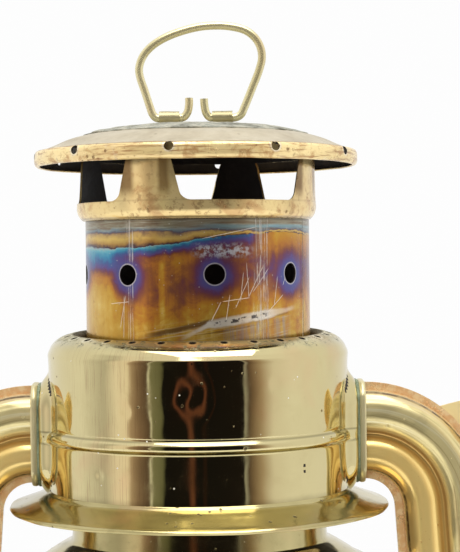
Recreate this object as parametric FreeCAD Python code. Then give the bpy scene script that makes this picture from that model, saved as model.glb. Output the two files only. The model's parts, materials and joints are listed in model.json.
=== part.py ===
import FreeCAD, Part
import os
from math import sin, cos, tan, pi, radians, degrees, sqrt, atan2, asin, hypot

V = FreeCAD.Vector
os.makedirs("parts", exist_ok=True)

# ---------------------------------------------------------------- driving dimensions (mm)
SHEET = 0.6              # brass sheet
RIM_R, RIM_Z0, RIM_Z1 = 53.6, 320.3, 325.1      # canopy rim band
CANOPY_TOP = 332.8       # height of the flat top of the canopy
TENT_R = 39.7            # vent band and posts
TENT_Z0, TENT_SILL = 302.9, 308.3
TENT_POST_DEG = 24.8     # width of each of the four posts
WINDOW_LEAN, WINDOW_CORNER = 2.0, 3.4
TENT_FIRST = -22.6       # angle of the front post from the front, towards +X
COLLAR_R = 37.23
COLLAR_HOLE_D, COLLAR_HOLE_Z = 6.5, 285.0
COLLAR_FIRST = 8.5
CROWN_R = 49.67
CROWN_HOLE_RING_R, CROWN_HOLES = 43.5, 28
BEAD_R, BEAD_Z = 50.7, 232.1
SKIRT_R, SKIRT_Z = 62.8, 208.6
NECK_R, NECK_Z = 42.3, 197.1
BELL_R, BELL_Z = 57.0, 188.8
HOOD_TRAVEL = 14.0
TUBE_W, TUBE_HALF = 32.2, 9.5     # tube section: width in its plane, depth of each half
SOCKET_X = 52.4          # face of the sockets on the crown
BEND_X, BEND_Z, BEND_RHO = 55.5, 206.25, 25.9
TUBE_LEAN = 4.0
LOWER_RHO, LOWER_TURN = 61.4, 62.0
LOWER_Z = 124.9          # where the lower bend of the tubes starts
TANK_R, TANK_H = 80.0, 60.0
EAR_X, PIVOT_Z = 96.5, 236.0
BAIL_WIRE_R, BAIL_X = 1.8, 102.0
BAIL_LEG, BAIL_REST = 62.0, 20.0
PLATE_Z = 85.6
GLOBE_Z0, GLOBE_Z1 = 87.0, 195.0
RING_WIRE_R, RING_Z = 1.35, 336.8
SHAFT_X, SHAFT_Z, SHAFT_R = 6.25, 80.5, 1.2
FILL_X, FILL_Y = -47.4, -47.4
LEVER_X, LEVER_Y, LEVER_Z = 76.0, -13.0, 91.0
LEVER_ARM, LEVER_REST = 24.0, 17.0

parts = {}


# ---------------------------------------------------------------- helpers
def smooth(pts, n=5):
    """A smooth curve through the points, sampled n times between each pair."""
    out = []
    m = len(pts)
    for i in range(m - 1):
        p0 = pts[max(i - 1, 0)]
        p1, p2 = pts[i], pts[i + 1]
        p3 = pts[min(i + 2, m - 1)]
        for k in range(n):
            t = k / n
            q = []
            for a in range(2):
                q.append(0.5 * (2 * p1[a] + (p2[a] - p0[a]) * t
                                + (2 * p0[a] - 5 * p1[a] + 4 * p2[a] - p3[a]) * t * t
                                + (3 * p1[a] - p0[a] - 3 * p2[a] + p3[a]) * t ** 3))
            out.append(tuple(q))
    out.append(tuple(pts[-1]))
    return out


def sheet_profile(pts, t):
    """The closed outline of a sheet of thickness t whose outer face runs through pts (left of the run is outside)."""
    inner = []
    m = len(pts)
    for i in range(m):
        a = pts[max(i - 1, 0)]
        b = pts[min(i + 1, m - 1)]
        p = pts[i]
        if 0 < i < m - 1:
            d1 = (p[0] - a[0], p[1] - a[1])
            d2 = (b[0] - p[0], b[1] - p[1])
            l1, l2 = hypot(*d1), hypot(*d2)
            n1 = (d1[1] / l1, -d1[0] / l1)
            n2 = (d2[1] / l2, -d2[0] / l2)
            n = (n1[0] + n2[0], n1[1] + n2[1])
            k = n[0] * n1[0] + n[1] * n1[1]
            inner.append((p[0] + t * n[0] / k, p[1] + t * n[1] / k))
        else:
            d = (b[0] - a[0], b[1] - a[1])
            l = hypot(*d)
            inner.append((p[0] + t * d[1] / l, p[1] - t * d[0] / l))
    return list(pts) + inner[::-1]


def rev(outline):
    """A solid of revolution about Z from a closed outline of (radius, height)."""
    w = Part.makePolygon([V(r, 0, z) for r, z in outline] + [V(outline[0][0], 0, outline[0][1])])
    s = Part.Face(w).revolve(V(0, 0, 0), V(0, 0, 1), 360)
    if s.ShapeType != "Solid":
        s = Part.Solid(s.Shells[0]) if s.Shells else s
    if s.Volume < 0:
        s = s.reversed()
    return s


def inward(pts, t=SHEET):
    """A sheet whose outer face follows pts; its inner face lies towards the axis."""
    a = sheet_profile(pts, t)
    b = sheet_profile(pts, -t)
    ra = sum(p[0] for p in a[len(pts):])
    rb = sum(p[0] for p in b[len(pts):])
    return a if ra < rb else b


def ring(r0, r1, z0, z1):
    return rev([(r0, z0), (r1, z0), (r1, z1), (r0, z1)])


def cyl(p, d, r, l):
    return Part.makeCylinder(r, l, V(*p), V(*d))


def box(x0, y0, z0, x1, y1, z1):
    return Part.makeBox(x1 - x0, y1 - y0, z1 - z0, V(x0, y0, z0))


def polar(r, deg, z=0.0):
    """Angle 0 is the front (-Y), growing towards +X."""
    a = radians(deg)
    return (r * sin(a), -r * cos(a), z)


def one(shape):
    s = shape.removeSplitter()
    if s.ShapeType == "Compound" and len(s.Solids) == 1:
        s = s.Solids[0]
    return s


def wire_path(points, radii):
    """Straight runs joined by tangent arcs: the path of a bent wire."""
    P = [V(*p) for p in points]
    edges = []
    last = P[0]
    for i in range(1, len(P) - 1):
        a = (P[i - 1] - P[i]).normalize()
        b = (P[i + 1] - P[i]).normalize()
        turn = pi - a.getAngle(b)
        r = radii[i - 1] if isinstance(radii, (list, tuple)) else radii
        if turn < 1e-3:
            continue
        d = r * tan(turn / 2)
        s = P[i] + a * d
        e = P[i] + b * d
        c = P[i] + (a + b).normalize() * (r / cos(turn / 2))
        m = c + (P[i] - c).normalize() * r
        if (s - last).Length > 1e-4:
            edges.append(Part.makeLine(last, s))
        edges.append(Part.Arc(s, m, e).toShape())
        last = e
    if (P[-1] - last).Length > 1e-4:
        edges.append(Part.makeLine(last, P[-1]))
    return Part.Wire(edges)


def rod(points, radii, r):
    path = wire_path(points, radii)
    d = path.Edges[0].tangentAt(path.Edges[0].FirstParameter)
    sec = Part.Wire(Part.makeCircle(r, V(*points[0]), d))
    s = path.makePipeShell([sec], True, False)
    if s.Volume < 0:
        s = s.reversed()
    want = pi * r * r * path.Length
    print("rod volume / section x length %.4f" % (s.Volume / want))
    return s


def mirror_x(s):
    return s.mirror(V(0, 0, 0), V(1, 0, 0))


def mirror_y(s):
    return s.mirror(V(0, 0, 0), V(0, 1, 0))


# ---------------------------------------------------------------- hood: canopy, tent, collar, bell
rim = [(RIM_R - 1.3, RIM_Z0), (RIM_R - 0.4, RIM_Z0 + 0.2), (RIM_R, RIM_Z0 + 1.1), (RIM_R, RIM_Z1 - 1.2), (RIM_R - 0.3, RIM_Z1 - 0.2), (RIM_R - 1.0, RIM_Z1 + 0.5)]
dome = smooth([(50.6, 326.3), (47.6, 327.25), (44.0, 328.75), (37.5, 330.7), (28.5, 332.4), (23.9, CANOPY_TOP)], 4)
under = [(23.9, CANOPY_TOP - SHEET), (28.4, 331.75), (37.3, 330.0), (43.8, 328.1), (47.3, 326.6), (50.3, 325.7), (RIM_R - 1.3, 324.95), (RIM_R - 0.75, RIM_Z1 - 1.2),
         (RIM_R - 0.75, RIM_Z0 + 1.3), (RIM_R - 0.9, RIM_Z0 + 0.9), (RIM_R - 1.3, RIM_Z0 + 0.7)]
canopy = rev(rim + dome + [(3.0, CANOPY_TOP), (3.0, CANOPY_TOP - SHEET)] + under)
for k in range(10):
    a = -8.9 + 36 * k
    p = polar(RIM_R - 4.2, a, RIM_Z1 - 0.95)
    d = polar(1, a)
    canopy = canopy.cut(cyl(p, d, 1.45, 12.0))
parts["canopy"] = one(canopy)

# worn disc lying on the top of the dome, held by one broad rivet
seat = [p for p in dome if p[0] < 31.6]
parts["canopy_cap"] = rev([(3.0, CANOPY_TOP)] + seat[::-1] + [(seat[0][0] - 0.5, seat[0][1] + 0.45), (27.0, CANOPY_TOP + 0.25), (22.6, CANOPY_TOP + 0.6), (3.0, CANOPY_TOP + 0.6)])
parts["canopy_rivet"] = rev([(0, CANOPY_TOP - 1.6), (4.5, CANOPY_TOP - 1.6), (4.5, CANOPY_TOP - SHEET), (2.95, CANOPY_TOP - SHEET), (2.95, CANOPY_TOP + 0.62), (0, CANOPY_TOP + 0.62)])

tent_top = 329.25
tent_prof = [(COLLAR_R + 0.02, TENT_Z0), (TENT_R - 1.5, TENT_Z0), (TENT_R - 0.55, TENT_Z0 + 0.5), (TENT_R, TENT_Z0 + 1.6), (TENT_R, tent_top), (TENT_R - SHEET, tent_top),
             (TENT_R - SHEET, TENT_Z0 + 1.9), (TENT_R - 1.1, TENT_Z0 + 1.1), (TENT_R - 1.75, TENT_Z0 + SHEET), (COLLAR_R + 0.02, TENT_Z0 + SHEET)]
tent = rev(tent_prof)
win_half = (90 - TENT_POST_DEG) / 2
for k in range(4):
    mid = TENT_FIRST + 45 + 90 * k
    w = TENT_R * sin(radians(win_half))
    # window outline seen square on: its sides lean in towards the sill, and its lower corners are round
    lean = WINDOW_LEAN
    z1 = 323.4
    wt, wb = w + lean * 3.1 / 12.0, w - lean
    path = wire_path([(-wt, -60, z1), (-wb, -60, TENT_SILL), (wb, -60, TENT_SILL), (wt, -60, z1)], WINDOW_CORNER)
    es = path.Edges + [Part.makeLine(V(wt, -60, z1), V(-wt, -60, z1))]
    b = Part.Face(Part.Wire(es)).extrude(V(0, 50, 0))
    b.rotate(V(0, 0, 0), V(0, 0, 1), mid)
    tent = tent.cut(b)
parts["vent_tent"] = one(tent)

collar = ring(COLLAR_R - SHEET, COLLAR_R, 217.6, TENT_Z0 + SHEET + 1.2)
for k in range(8):
    a = COLLAR_FIRST + 45 * k
    collar = collar.cut(cyl(polar(30, a, COLLAR_HOLE_Z), polar(1, a), COLLAR_HOLE_D / 2, 12))
parts["chimney_collar"] = one(collar)

parts["bell"] = rev([
    (COLLAR_R + 0.02, 218.2), (NECK_R - 0.6, 218.2), (NECK_R, 217.6), (NECK_R, NECK_Z + 0.6), (NECK_R + 0.5, NECK_Z),
    (BELL_R - 1.4, BELL_Z + 0.8), (BELL_R, BELL_Z + 0.5), (BELL_R + 0.5, BELL_Z - 0.2), (BELL_R, BELL_Z - 0.9), (BELL_R - 1.6, BELL_Z + 0.0),
    (NECK_R + 0.2, NECK_Z - 0.7), (NECK_R - SHEET, NECK_Z + 0.3), (NECK_R - SHEET, 217.4), (NECK_R - 0.8, 217.6), (COLLAR_R + 0.02, 217.6)])

# ---------------------------------------------------------------- lifting ring and its clips
ring_path = [(-2.0, 343.4), (-2.0, RING_Z), (-13.9, RING_Z), (-16.8, 344.6), (-18.8, 353.0), (-16.6, 358.4), (-11.9, 362.4), (-5.4, 365.3),
             (3.0, 367.3), (11.6, 367.6), (18.8, 364.9), (22.5, 358.6), (21.8, 353.2), (15.0, RING_Z), (2.9, RING_Z), (2.9, 343.1)]
parts["lifting_ring"] = rod([(x, 0.0, z) for x, z in ring_path], [2.2, 2.4, 30.0, 7.0, 12.0, 20.0, 30.0, 30.0, 18.0, 8.0, 8.0, 10.0, 1.8, 1.6], RING_WIRE_R)


def clip(x0, x1):
    """A strap rolled over the ring's foot, its two tails flat on the canopy top."""
    r0, r1 = RING_WIRE_R + 0.06, RING_WIRE_R + 0.06 + 0.7
    base = CANOPY_TOP + 0.6
    s = cyl((x0, 0, RING_Z), (1, 0, 0), r1, x1 - x0)
    s = s.fuse(box(x0, -r1, base, x1, r1, RING_Z))
    s = s.fuse(box(x0, -5.0, base, x1, 5.0, base + 0.6))
    s = s.cut(cyl((x0 - 1, 0, RING_Z), (1, 0, 0), r0, x1 - x0 + 2))
    return one(s)


parts["ring_clip_left"] = clip(-12.0, -5.0)
parts["ring_clip_right"] = clip(4.6, 12.4)

# ---------------------------------------------------------------- crown (air chamber)
seam_z = 234.1
upper_pts = smooth([(CROWN_R, 252.0), (CROWN_R, 256.8), (49.35, 259.8), (48.6, 261.7), (46.9, 263.5), (45.0, 264.5), (43.0, 265.05), (41.2, 265.2), (39.9, 264.8), (39.1, 263.8)], 4)
upper_pts = [(CROWN_R, seam_z)] + upper_pts
crown_shell = rev(inward(upper_pts))
for k in range(CROWN_HOLES):
    a = -2.2 + 360.0 / CROWN_HOLES * k
    crown_shell = crown_shell.cut(cyl(polar(CROWN_HOLE_RING_R, a, 255), (0, 0, 1), 1.15, 16))
parts["crown_shell"] = crown_shell

lower_pts = [(CROWN_R, seam_z), (CROWN_R + 0.5, BEAD_Z + 1.3), (BEAD_R, BEAD_Z + 0.5), (BEAD_R, BEAD_Z - 0.5), (CROWN_R + 0.5, BEAD_Z - 1.3), (CROWN_R, BEAD_Z - 1.9), (CROWN_R, 212.3)]
crown_body = rev(inward(lower_pts, SHEET))
crown_floor = ring(NECK_R + 0.6, CROWN_R - SHEET - 0.01, 212.4, 213.0)
parts["crown_floor"] = crown_floor
skirt_out = smooth([(CROWN_R + 0.01, 214.3), (51.2, 213.1), (54.4, 211.9), (58.4, 210.4), (61.6, 209.3), (SKIRT_R, SKIRT_Z + 0.2)], 3)
skirt = rev(skirt_out + [(SKIRT_R + 0.1, SKIRT_Z - 0.5), (SKIRT_R - 0.5, SKIRT_Z - 1.0), (SKIRT_R - 1.4, SKIRT_Z - 0.6)] + [(r, z - 0.75) for r, z in skirt_out[::-1][2:-1]] + [(CROWN_R + 0.01, 212.6)])
parts["skirt"] = skirt

# ---------------------------------------------------------------- side tubes
def half_outline(place):
    """place(u, v) turns section coordinates into space: u 0..TUBE_W from the inner seam to the outer, v 0..depth."""
    t = 0.8
    H = TUBE_HALF

    def line(a, b):
        return Part.makeLine(place(*a), place(*b))

    def arc(a, b, c):
        return Part.Arc(place(*a), place(*b), place(*c)).toShape()

    e = [
        line((0, 0), (0, t)), line((0, t), (2.6, t)),
        arc((2.6, t), (7.8, H - 1.2), (14.4, 5.4)), arc((14.4, 5.4), (15.3, 5.0), (16.2, 5.6)),
        arc((16.2, 5.6), (23.8, H), (29.6, t)), line((29.6, t), (TUBE_W, t)), line((TUBE_W, t), (TUBE_W, 0)),
        line((TUBE_W, 0), (28.6, 0)), arc((28.6, 0), (23.4, H - t), (16.4, 4.7)), arc((16.4, 4.7), (15.3, 4.2), (14.2, 4.5)),
        arc((14.2, 4.5), (8.0, H - 1.2 - t), (3.6, 0)), line((3.6, 0), (0, 0)),
    ]
    return Part.Face(Part.Wire(e))


def tube_run(front=True):
    """The right-hand tube's half from the crown to the tank, as straight runs and arcs."""
    sgn = -1.0 if front else 1.0
    out = []
    # direction of the path at angle a below horizontal, u axis points to the outside of the bend

    def placer(p, n):
        # p: centreline point (x, z), n: unit vector to the outside (x, z)
        def place(u, v):
            k = u - TUBE_W / 2
            return V(p[0] + n[0] * k, sgn * v, p[1] + n[1] * k)
        return place

    z0 = BEND_Z + BEND_RHO
    x_in = 47.0
    f = half_outline(placer((x_in, z0), (0, 1)))
    out.append(f.extrude(V(BEND_X - x_in, 0, 0)))
    f = half_outline(placer((BEND_X, z0), (0, 1)))
    turn = 90 - TUBE_LEAN
    out.append(f.revolve(V(BEND_X, 0, BEND_Z), V(0, 1, 0), turn))
    a = radians(turn)
    p = (BEND_X + BEND_RHO * sin(a), BEND_Z + BEND_RHO * cos(a))
    n = (sin(a), cos(a))
    t = (cos(a), -sin(a))
    L = (p[1] - LOWER_Z) / sin(a)
    f = half_outline(placer(p, n))
    out.append(f.extrude(V(t[0] * L, 0, t[1] * L)))
    q = (p[0] + t[0] * L, p[1] + t[1] * L)
    c = (q[0] - n[0] * LOWER_RHO, q[1] - n[1] * LOWER_RHO)
    f = half_outline(placer(q, n))
    out.append(f.revolve(V(c[0], 0, c[1]), V(0, 1, 0), LOWER_TURN))
    b = a + radians(LOWER_TURN)
    n2 = (sin(b), cos(b))
    t2 = (cos(b), -sin(b))
    e = (c[0] + n2[0] * LOWER_RHO, c[1] + n2[1] * LOWER_RHO)
    f = half_outline(placer(e, n2))
    out.append(f.extrude(V(t2[0] * 22, 0, t2[1] * 22)))
    s = out[0]
    for o in out[1:]:
        s = s.fuse(o)
    return one(s), e, n2, t2


tank_dome = smooth([(TANK_R - 0.4, 26.0), (TANK_R - 0.4, 44.0), (78.3, 48.2), (75.0, 51.6), (68.0, 55.4), (58.0, 58.2), (50.0, TANK_H)], 4)
tank_dome = [(TANK_R - 0.4, 22.4)] + tank_dome + [(24.0, TANK_H)]
tank_solid = rev([(0, 22.4)] + tank_dome[:-1] + [(0, TANK_H)])
chamber_pts = smooth([(53.0, 59.2), (51.0, 65.0), (48.6, 70.6), (45.0, 74.4), (40.0, 76.0), (36.0, 76.2)], 4)
chamber_pts = chamber_pts + [(25.2, 76.2)]
chamber_solid = rev([(0, 58.0)] + [(53.4, 58.0)] + chamber_pts + [(0, 76.2)])

half_f, foot, foot_n, foot_t = tube_run(True)
half_r, _, _, _ = tube_run(False)
crown_bore = Part.makeCylinder(CROWN_R - SHEET - 0.6, 60, V(0, 0, 205), V(0, 0, 1))
stud_cut = cyl((LEVER_X, -20, LEVER_Z), (0, 1, 0), 3.2, 19.2)


def finish_half(s):
    s = s.cut(crown_bore)
    s = s.cut(tank_solid)
    s = s.cut(chamber_solid)
    return one(s)


half_f = finish_half(half_f)
half_r = finish_half(half_r)

# joint sleeves at the crown: rounded oval sockets
def oval(x0, x1, dz, dy, r):
    zc = BEND_Z + BEND_RHO
    b = box(x0, -dy, zc - dz, x1, dy, zc + dz)
    es = [e for e in b.Edges if abs(abs(e.CenterOfMass.y) - dy) < 1e-6 and abs(abs(e.CenterOfMass.z - zc) - dz) < 1e-6]
    return b.makeFillet(r, es)


tube_w2 = TUBE_W / 2
sock_out = oval(40, SOCKET_X, tube_w2 + 0.75, TUBE_HALF + 0.85, 8.0)
sock_in = oval(30, 60, tube_w2 + 0.05, TUBE_HALF + 0.25, 6.0)
crown_in = Part.makeCylinder(CROWN_R - SHEET - 0.6, 60, V(0, 0, 205), V(0, 0, 1))
socket = one(sock_out.cut(sock_in).cut(crown_in))
parts["tube_socket_right"] = socket
parts["tube_socket_left"] = mirror_x(socket)
band = one(oval(SOCKET_X, SOCKET_X + 2.6, tube_w2 + 0.9, TUBE_HALF + 1.0, 8.0).cut(sock_in))
parts["joint_band_right"] = band
parts["joint_band_left"] = mirror_x(band)
hole_r = oval(40, 60, tube_w2 + 0.75, TUBE_HALF + 0.85, 8.0)
hole_l = mirror_x(hole_r)
parts["crown_shell"] = one(parts["crown_shell"].cut(hole_r).cut(hole_l))
crown_body = crown_body.cut(hole_r).cut(hole_l)
parts["crown_body"] = one(crown_body)

# ear: a web on the tube's outer top with a folded tab that holds the bail
web = Part.Face(Part.makePolygon([V(70, -0.5, 234.0), V(79.0, -0.5, 239.4), V(84.0, -0.5, 240.7), V(EAR_X, -0.5, 243.6), V(EAR_X, -0.5, 222.0), V(92.0, -0.5, 214.0), V(85.0, -0.5, 206.0), V(70, -0.5, 215.0), V(70, -0.5, 234.0)])).extrude(V(0, 1.0, 0))
outer_cyl = Part.makeCylinder(BEND_RHO + tube_w2 + 0.01, 40, V(BEND_X, -20, BEND_Z), V(0, 1, 0))
web = web.cut(outer_cyl)
web = web.cut(box(60, -2, 190, 97.3, 2, BEND_Z + 2.0))
web = web.cut(box(88.6, -3, PIVOT_Z - 4.4, EAR_X, 3, PIVOT_Z + 4.4))
tab = cyl((EAR_X, 0, PIVOT_Z), (1, 0, 0), 7.2, 1.2).fuse(box(EAR_X, -4.4, 222.0, EAR_X + 1.2, 4.4, PIVOT_Z))
tab = tab.cut(cyl((EAR_X - 2, 0, PIVOT_Z), (1, 0, 0), BAIL_WIRE_R + 0.06, 6))
ear = one(web.fuse(tab))
parts["bail_ear_right"] = ear
parts["bail_ear_left"] = mirror_x(ear)

# bail: one wire, heads inside the tabs, legs and a round arch, stored leaning to the rear
xi = EAR_X - 3.6
arch_r = BAIL_X
bpts = [V(xi, 0, PIVOT_Z), V(BAIL_X - 3.0, 0, PIVOT_Z)]
e1 = Part.makeLine(bpts[0], bpts[1])
c1 = V(BAIL_X - 3.0, 0, PIVOT_Z - 3.0)
e2 = Part.Arc(bpts[1], V(BAIL_X - 3.0 + 3.0 * sin(pi / 4), 0, PIVOT_Z - 3.0 + 3.0 * cos(pi / 4)), V(BAIL_X, 0, PIVOT_Z - 3.0)).toShape()
e3 = Part.makeLine(V(BAIL_X, 0, PIVOT_Z - 3.0), V(BAIL_X, 0, PIVOT_Z - BAIL_LEG))
e4 = Part.Arc(V(BAIL_X, 0, PIVOT_Z - BAIL_LEG), V(0, 0, PIVOT_Z - BAIL_LEG - arch_r), V(-BAIL_X, 0, PIVOT_Z - BAIL_LEG)).toShape()
e5 = Part.makeLine(V(-BAIL_X, 0, PIVOT_Z - BAIL_LEG), V(-BAIL_X, 0, PIVOT_Z - 3.0))
e6 = Part.Arc(V(-BAIL_X, 0, PIVOT_Z - 3.0), V(-(BAIL_X - 3.0 + 3.0 * sin(pi / 4)), 0, PIVOT_Z - 3.0 + 3.0 * cos(pi / 4)), V(-(BAIL_X - 3.0), 0, PIVOT_Z)).toShape()
e7 = Part.makeLine(V(-(BAIL_X - 3.0), 0, PIVOT_Z), V(-xi, 0, PIVOT_Z))
bw = Part.Wire([e1, e2, e3, e4, e5, e6, e7])
bail = bw.makePipeShell([Part.Wire(Part.makeCircle(BAIL_WIRE_R, V(xi, 0, PIVOT_Z), V(1, 0, 0)))], True, False)
print("bail volume ratio %.4f" % (bail.Volume / (pi * BAIL_WIRE_R ** 2 * bw.Length)))
head = cyl((xi - 1.4, 0, PIVOT_Z), (1, 0, 0), 3.0, 2.6)
bail = bail.fuse(head).fuse(mirror_x(head))
bail.rotate(V(0, 0, PIVOT_Z), V(1, 0, 0), BAIL_REST)
parts["bail"] = one(bail)

# ---------------------------------------------------------------- tank
top_shell = rev(inward(tank_dome, 0.7))
bottom = rev([(TANK_R - 0.35, 24.6), (TANK_R + 0.9, 24.6), (TANK_R + 1.6, 23.5), (TANK_R + 0.9, 22.4), (TANK_R + 0.1, 21.8),
              (TANK_R + 0.1, 4.0), (TANK_R + 0.9, 2.4), (TANK_R + 0.9, 0.8), (TANK_R + 0.1, 0.0), (TANK_R - 3.4, 0.0), (TANK_R - 4.2, 0.8), (TANK_R - 4.2, 3.2),
              (0, 3.2), (0, 4.0), (TANK_R - 0.7, 4.0), (TANK_R - 0.7, 22.0), (TANK_R - 0.35, 22.35)])
parts["tank_bottom"] = bottom
neck_cut = cyl((FILL_X, FILL_Y, 30), (0, 0, 1), 9.0, 50)
top_shell = top_shell.cut(neck_cut)
parts["tank_top"] = one(top_shell)
neck = cyl((FILL_X, FILL_Y, 49.0), (0, 0, 1), 9.0, 17.0)
neck = neck.cut(cyl((FILL_X, FILL_Y, 48), (0, 0, 1), 8.2, 20))
neck = neck.fuse(cyl((FILL_X, FILL_Y, 57.2), (0, 0, 1), 10.2, 1.2).cut(cyl((FILL_X, FILL_Y, 48), (0, 0, 1), 8.6, 20)))
neck = neck.cut(parts["tank_top"])
parts["filler_neck"] = max(neck.Solids, key=lambda q: q.Volume)
cap = cyl((FILL_X, FILL_Y, 59.4), (0, 0, 1), 11.0, 9.4)
cap = cap.makeFillet(1.2, [e for e in cap.Edges if abs(e.CenterOfMass.z - 68.8) < 1e-6 and e.Length > 30])
cap = cap.cut(cyl((FILL_X, FILL_Y, 59), (0, 0, 1), 9.1, 8.6))
for k in range(24):
    a = radians(15 * k)
    cap = cap.cut(cyl((FILL_X + 11.35 * cos(a), FILL_Y + 11.35 * sin(a), 60.6), (0, 0, 1), 0.75, 6.6))
parts["filler_cap"] = one(cap)
parts["filler_gasket"] = one(cyl((FILL_X, FILL_Y, 66.05), (0, 0, 1), 8.9, 1.5).cut(cyl((FILL_X, FILL_Y, 65), (0, 0, 1), 5.0, 4)))

air = rev(inward(chamber_pts, 0.7)).cut(tank_solid)
# mouths of the two tubes
def mouth():
    e = foot
    s = Part.Face(Part.makePolygon([V(e[0] - foot_n[0] * 15.0, 0, e[1] - foot_n[1] * 15.0), V(e[0] + foot_n[0] * 15.0, 0, e[1] + foot_n[1] * 15.0),
                                    V(e[0] + foot_n[0] * 15.0 + foot_t[0] * 30, 0, e[1] + foot_n[1] * 15.0 + foot_t[1] * 30),
                                    V(e[0] - foot_n[0] * 15.0 + foot_t[0] * 30, 0, e[1] - foot_n[1] * 15.0 + foot_t[1] * 30),
                                    V(e[0] - foot_n[0] * 15.0, 0, e[1] - foot_n[1] * 15.0)]))
    s = s.extrude(V(0, 7.0, 0))
    s.translate(V(0, -3.5, 0))
    return s


m = mouth()
keep_low = Part.makeCylinder(70, 9.0, V(0, 0, 64.0), V(0, 0, 1))
m = m.common(keep_low)
air = air.cut(m).cut(mirror_x(m))
parts["air_chamber"] = one(air) if len(air.Solids) == 1 else max(air.Solids, key=lambda s: s.Volume)

# ---------------------------------------------------------------- burner
parts["burner_collar"] = rev([(24.95, 76.25), (29.5, 76.25), (29.5, 78.2), (28.7, 79.0), (24.95, 79.0)])
base = rev([(23.0, 62.0), (24.9, 62.0), (24.9, 85.0), (23.6, 86.2), (20.0, 86.2), (20.0, 85.6), (23.3, 85.6), (24.1, 84.7), (24.1, 62.8), (23.0, 62.8)])
for k in range(20):
    a = 18.0 * k + 9
    if abs(((a + 180) % 360) - 180) < 25:
        continue
    base = base.cut(cyl(polar(20, a, 81.8), polar(1, a), 1.4, 8))
base = base.cut(cyl((SHAFT_X, -30, SHAFT_Z), (0, 1, 0), SHAFT_R + 0.06, 12))
parts["burner_base"] = one(base)
gal = rev([(0, 70.0), (24.05, 70.0), (24.05, 70.8), (0, 70.8)]).cut(box(-2.05, -11.55, 69, 2.05, 11.55, 72))
parts["burner_plate"] = one(gal)
wt = box(-2.05, -11.5, 52.0, 2.05, 11.5, 93.0).cut(box(-1.35, -10.7, 50, 1.35, 10.7, 95))
for y in (-5.0, 5.0):
    wt = wt.cut(box(1.0, y - 1.5, SHAFT_Z - 5.6, 3.0, y + 1.5, SHAFT_Z + 5.6))
parts["wick_tube"] = one(wt)
parts["wick"] = box(-0.95, -10.2, 24.0, 0.95, 10.2, 96.0)
shaft = cyl((SHAFT_X, -58.0, SHAFT_Z), (0, 1, 0), SHAFT_R, 68.0)
parts["wick_shaft"] = shaft
sp = None
for y in (-5.0, 5.0):
    w = cyl((SHAFT_X, y - 0.6, SHAFT_Z), (0, 1, 0), 4.9, 1.2)
    for k in range(14):
        a = 2 * pi * k / 14
        w = w.cut(cyl((SHAFT_X + 5.05 * cos(a), y - 1, SHAFT_Z + 5.05 * sin(a)), (0, 1, 0), 0.62, 2))
    w = w.cut(cyl((SHAFT_X, y - 2, SHAFT_Z), (0, 1, 0), SHAFT_R, 4))
    sp = w if sp is None else Part.makeCompound([sp, w])
parts["wick_sprockets"] = sp
knob = cyl((SHAFT_X, -61.0, SHAFT_Z), (0, 1, 0), 7.2, 2.6)
for k in range(24):
    a = 2 * pi * k / 24
    knob = knob.cut(cyl((SHAFT_X + 7.5 * cos(a), -62, SHAFT_Z + 7.5 * sin(a)), (0, 1, 0), 0.62, 5))
knob = knob.fuse(cyl((SHAFT_X, -58.4, SHAFT_Z), (0, 1, 0), 2.6, 3.4))
knob = knob.cut(cyl((SHAFT_X, -58.0, SHAFT_Z), (0, 1, 0), SHAFT_R, 5))
parts["wick_knob"] = one(knob)
cone_pts = smooth([(24.8, 86.3), (24.0, 90.0), (21.0, 94.8), (15.0, 98.6), (8.0, 100.2), (3.0, 100.4)], 3)
cone = rev([(24.8, 86.25), (24.8, 86.3)] + cone_pts[1:] + [(0, 100.4), (0, 99.9), (3.0, 99.9)] + [(r - 0.5 if r > 6 else r, z - 0.5) for r, z in cone_pts[::-1][1:-1]] + [(24.2, 86.25)])
cone = cone.cut(box(-2.6, -12.6, 90, 2.6, 12.6, 103))
parts["burner_cone"] = one(cone)

# ---------------------------------------------------------------- globe carriage
plate = rev([(27.5, PLATE_Z), (47.0, PLATE_Z), (48.0, PLATE_Z + 0.8), (48.0, PLATE_Z + 2.6), (47.2, PLATE_Z + 2.6), (47.2, PLATE_Z + 1.0), (46.8, PLATE_Z + 0.7), (27.5, PLATE_Z + 0.7)])
for rr, nn in ((31.0, 24), (35.5, 28)):
    for k in range(nn):
        a = 360.0 / nn * (k + (0.5 if nn == 28 else 0))
        plate = plate.cut(cyl(polar(rr, a, PLATE_Z - 1), (0, 0, 1), 1.1, 4))
lug = box(44.0, -17.0, PLATE_Z, 53.2, -9.0, PLATE_Z + 0.7)
lug = lug.cut(Part.makeCylinder(47.2, 4, V(0, 0, PLATE_Z - 1), V(0, 0, 1)))
plate = plate.fuse(lug)
parts["globe_plate"] = one(plate)
parts["globe_seat"] = rev([(37.4, PLATE_Z + 0.7), (38.4, PLATE_Z + 0.7), (38.4, PLATE_Z + 3.2), (37.4, PLATE_Z + 3.2)])
g_out = smooth([(41.4, GLOBE_Z0), (42.2, 92.0), (46.6, 104.0), (50.0, 122.0), (50.6, 136.0), (49.4, 154.0), (46.4, 172.0), (43.8, 183.4), (43.0, 190.0), (43.2, GLOBE_Z1)], 3)
g_in = [(r - 2.4, z) for r, z in g_out]
parts["globe"] = rev(g_out + g_in[::-1])

guard_r = 56.5


def torus(R, z, r):
    return Part.makeTorus(R, r, V(0, 0, z), V(0, 0, 1))


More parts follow.
